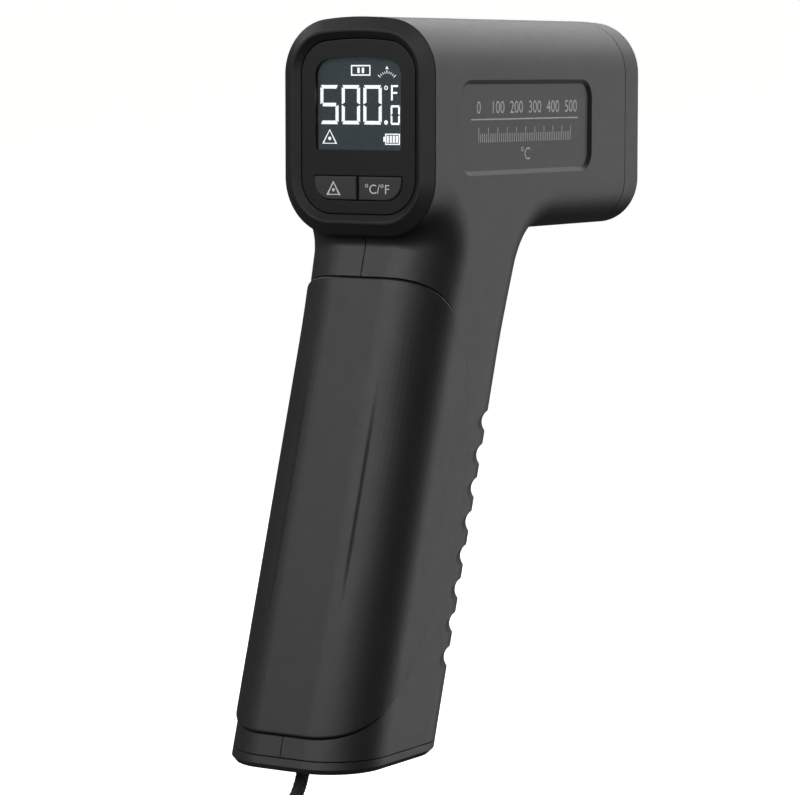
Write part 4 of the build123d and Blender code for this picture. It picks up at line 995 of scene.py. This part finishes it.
nylon = moulded_abs("satin_black_nylon", "#1B1B1C", "#212122", 0.45, 0.4 * MM, 0.006 * MM)
dress(nylon, "cord_ferrule")

# ==== Studio =====================================================================================
# A pale round sweep of paper that the camera alone sees, so that it doesn't light the piece, with
# five soft boxes round it, a weak even fill, and a camera behind and to the right of the display.

SWEEP_FLOOR = -0.19
SWEEP_WALL = 2.4
SWEEP_CURVE = 0.7
SWEEP_HIGH = 3.2
SWEEP_SIDES = 72


def sweep_paper():
    """Matt white background paper, lit evenly from behind."""
    material, tree, shader, place = new_material("matt_white_background_paper")
    colour = patches(tree, place, 0.6, "#F1F1F0", "#F4F4F3")
    tree.links.new(colour, shader.inputs["Base Color"])
    tree.links.new(colour, shader.inputs["Emission Color"])
    shader.inputs["Emission Strength"].default_value = 0.95
    shader.inputs["Roughness"].default_value = 0.9
    return material


def round_sweep():
    """A floor that curves up into a wall all round."""
    rise = [(SWEEP_WALL - SWEEP_CURVE, 0.0)]
    for step in range(1, 13):
        angle = radians(90 * step / 12)
        rise.append((SWEEP_WALL - SWEEP_CURVE * (1 - sin(angle)), SWEEP_CURVE * (1 - cos(angle))))
    rise.append((SWEEP_WALL, SWEEP_HIGH))
    bm = bmesh.new()
    middle = bm.verts.new((0, 0, SWEEP_FLOOR))
    rings = []
    for radius, high in rise:
        turns = [2 * pi * i / SWEEP_SIDES for i in range(SWEEP_SIDES)]
        level = SWEEP_FLOOR + high
        rings.append([bm.verts.new((radius * cos(t), radius * sin(t), level)) for t in turns])
    for i in range(SWEEP_SIDES):
        j = (i + 1) % SWEEP_SIDES
        bm.faces.new((middle, rings[0][i], rings[0][j]))
        for inner, outer in zip(rings, rings[1:]):
            bm.faces.new((inner[i], outer[i], outer[j], inner[j]))
    mesh = bpy.data.meshes.new("studio_sweep")
    bm.to_mesh(mesh)
    bm.free()
    mesh.shade_smooth()
    mesh.materials.append(sweep_paper())
    return mesh


sweep = bpy.data.objects.new("studio_sweep", round_sweep())
sweep.visible_diffuse = False
sweep.visible_glossy = False
bpy.context.scene.collection.objects.link(sweep)

LIGHT_TARGET = Vector((0.01, 0, 0.03))


def soft_box(name, turn, lift, away, wide, high, power):
    """A soft box at an azimuth and elevation in degrees and a distance, turned to the piece."""
    turn, lift = radians(turn), radians(lift)
    place = LIGHT_TARGET + Vector((cos(turn) * cos(lift), sin(turn) * cos(lift), sin(lift))) * away
    lamp = bpy.data.lights.new(name, "AREA")
    lamp.shape = "RECTANGLE"
    lamp.size, lamp.size_y, lamp.energy = wide, high, power
    box = bpy.data.objects.new(name, lamp)
    box.location = place
    box.visible_camera = False
    box.rotation_euler = (LIGHT_TARGET - place).to_track_quat("-Z", "Y").to_euler()
    bpy.context.scene.collection.objects.link(box)


# Azimuth, elevation, distance, width, height and power of each.
soft_box("right_softbox", -33, 4, 1.3, 0.9, 1.5, 7.2)
soft_box("left_softbox", 170, 31, 1.3, 1.6, 0.6, 11.0)
soft_box("near_softbox", 216, 2, 1.5, 0.4, 0.5, 1.6)
soft_box("front_softbox", 72, 38, 1.5, 1.0, 0.8, 4.0)
soft_box("far_softbox", 8, 36, 1.4, 1.4, 0.7, 9.5)
world = bpy.data.worlds.new("studio_fill")
bpy.context.scene.world = world
world.use_nodes = True
world.node_tree.nodes["Background"].inputs["Color"].default_value = linear("#FFFFFF")
world.node_tree.nodes["Background"].inputs["Strength"].default_value = 0.07

YAW, PITCH = radians(32.5), radians(5.5)
AIM = Vector((-5.4 * MM, 0, 85 * MM))
EYE_FROM_AIM = Vector((-641.4, -419.4, 12.8)) * MM
LENS = 153.0
forward = Vector((cos(YAW) * cos(PITCH), sin(YAW) * cos(PITCH), -sin(PITCH)))
to_right = Vector((sin(YAW), -cos(YAW), 0))

camera = bpy.data.cameras.new("studio_camera")
camera.lens = LENS
camera.sensor_width = 36.0
view = bpy.data.objects.new("studio_camera", camera)
turn = Matrix((to_right, to_right.cross(forward), -forward)).transposed()
view.matrix_world = Matrix.Translation(AIM + EYE_FROM_AIM) @ turn.to_4x4()
bpy.context.scene.collection.objects.link(view)
bpy.context.scene.camera = view
bpy.context.scene.view_settings.view_transform = "Standard"
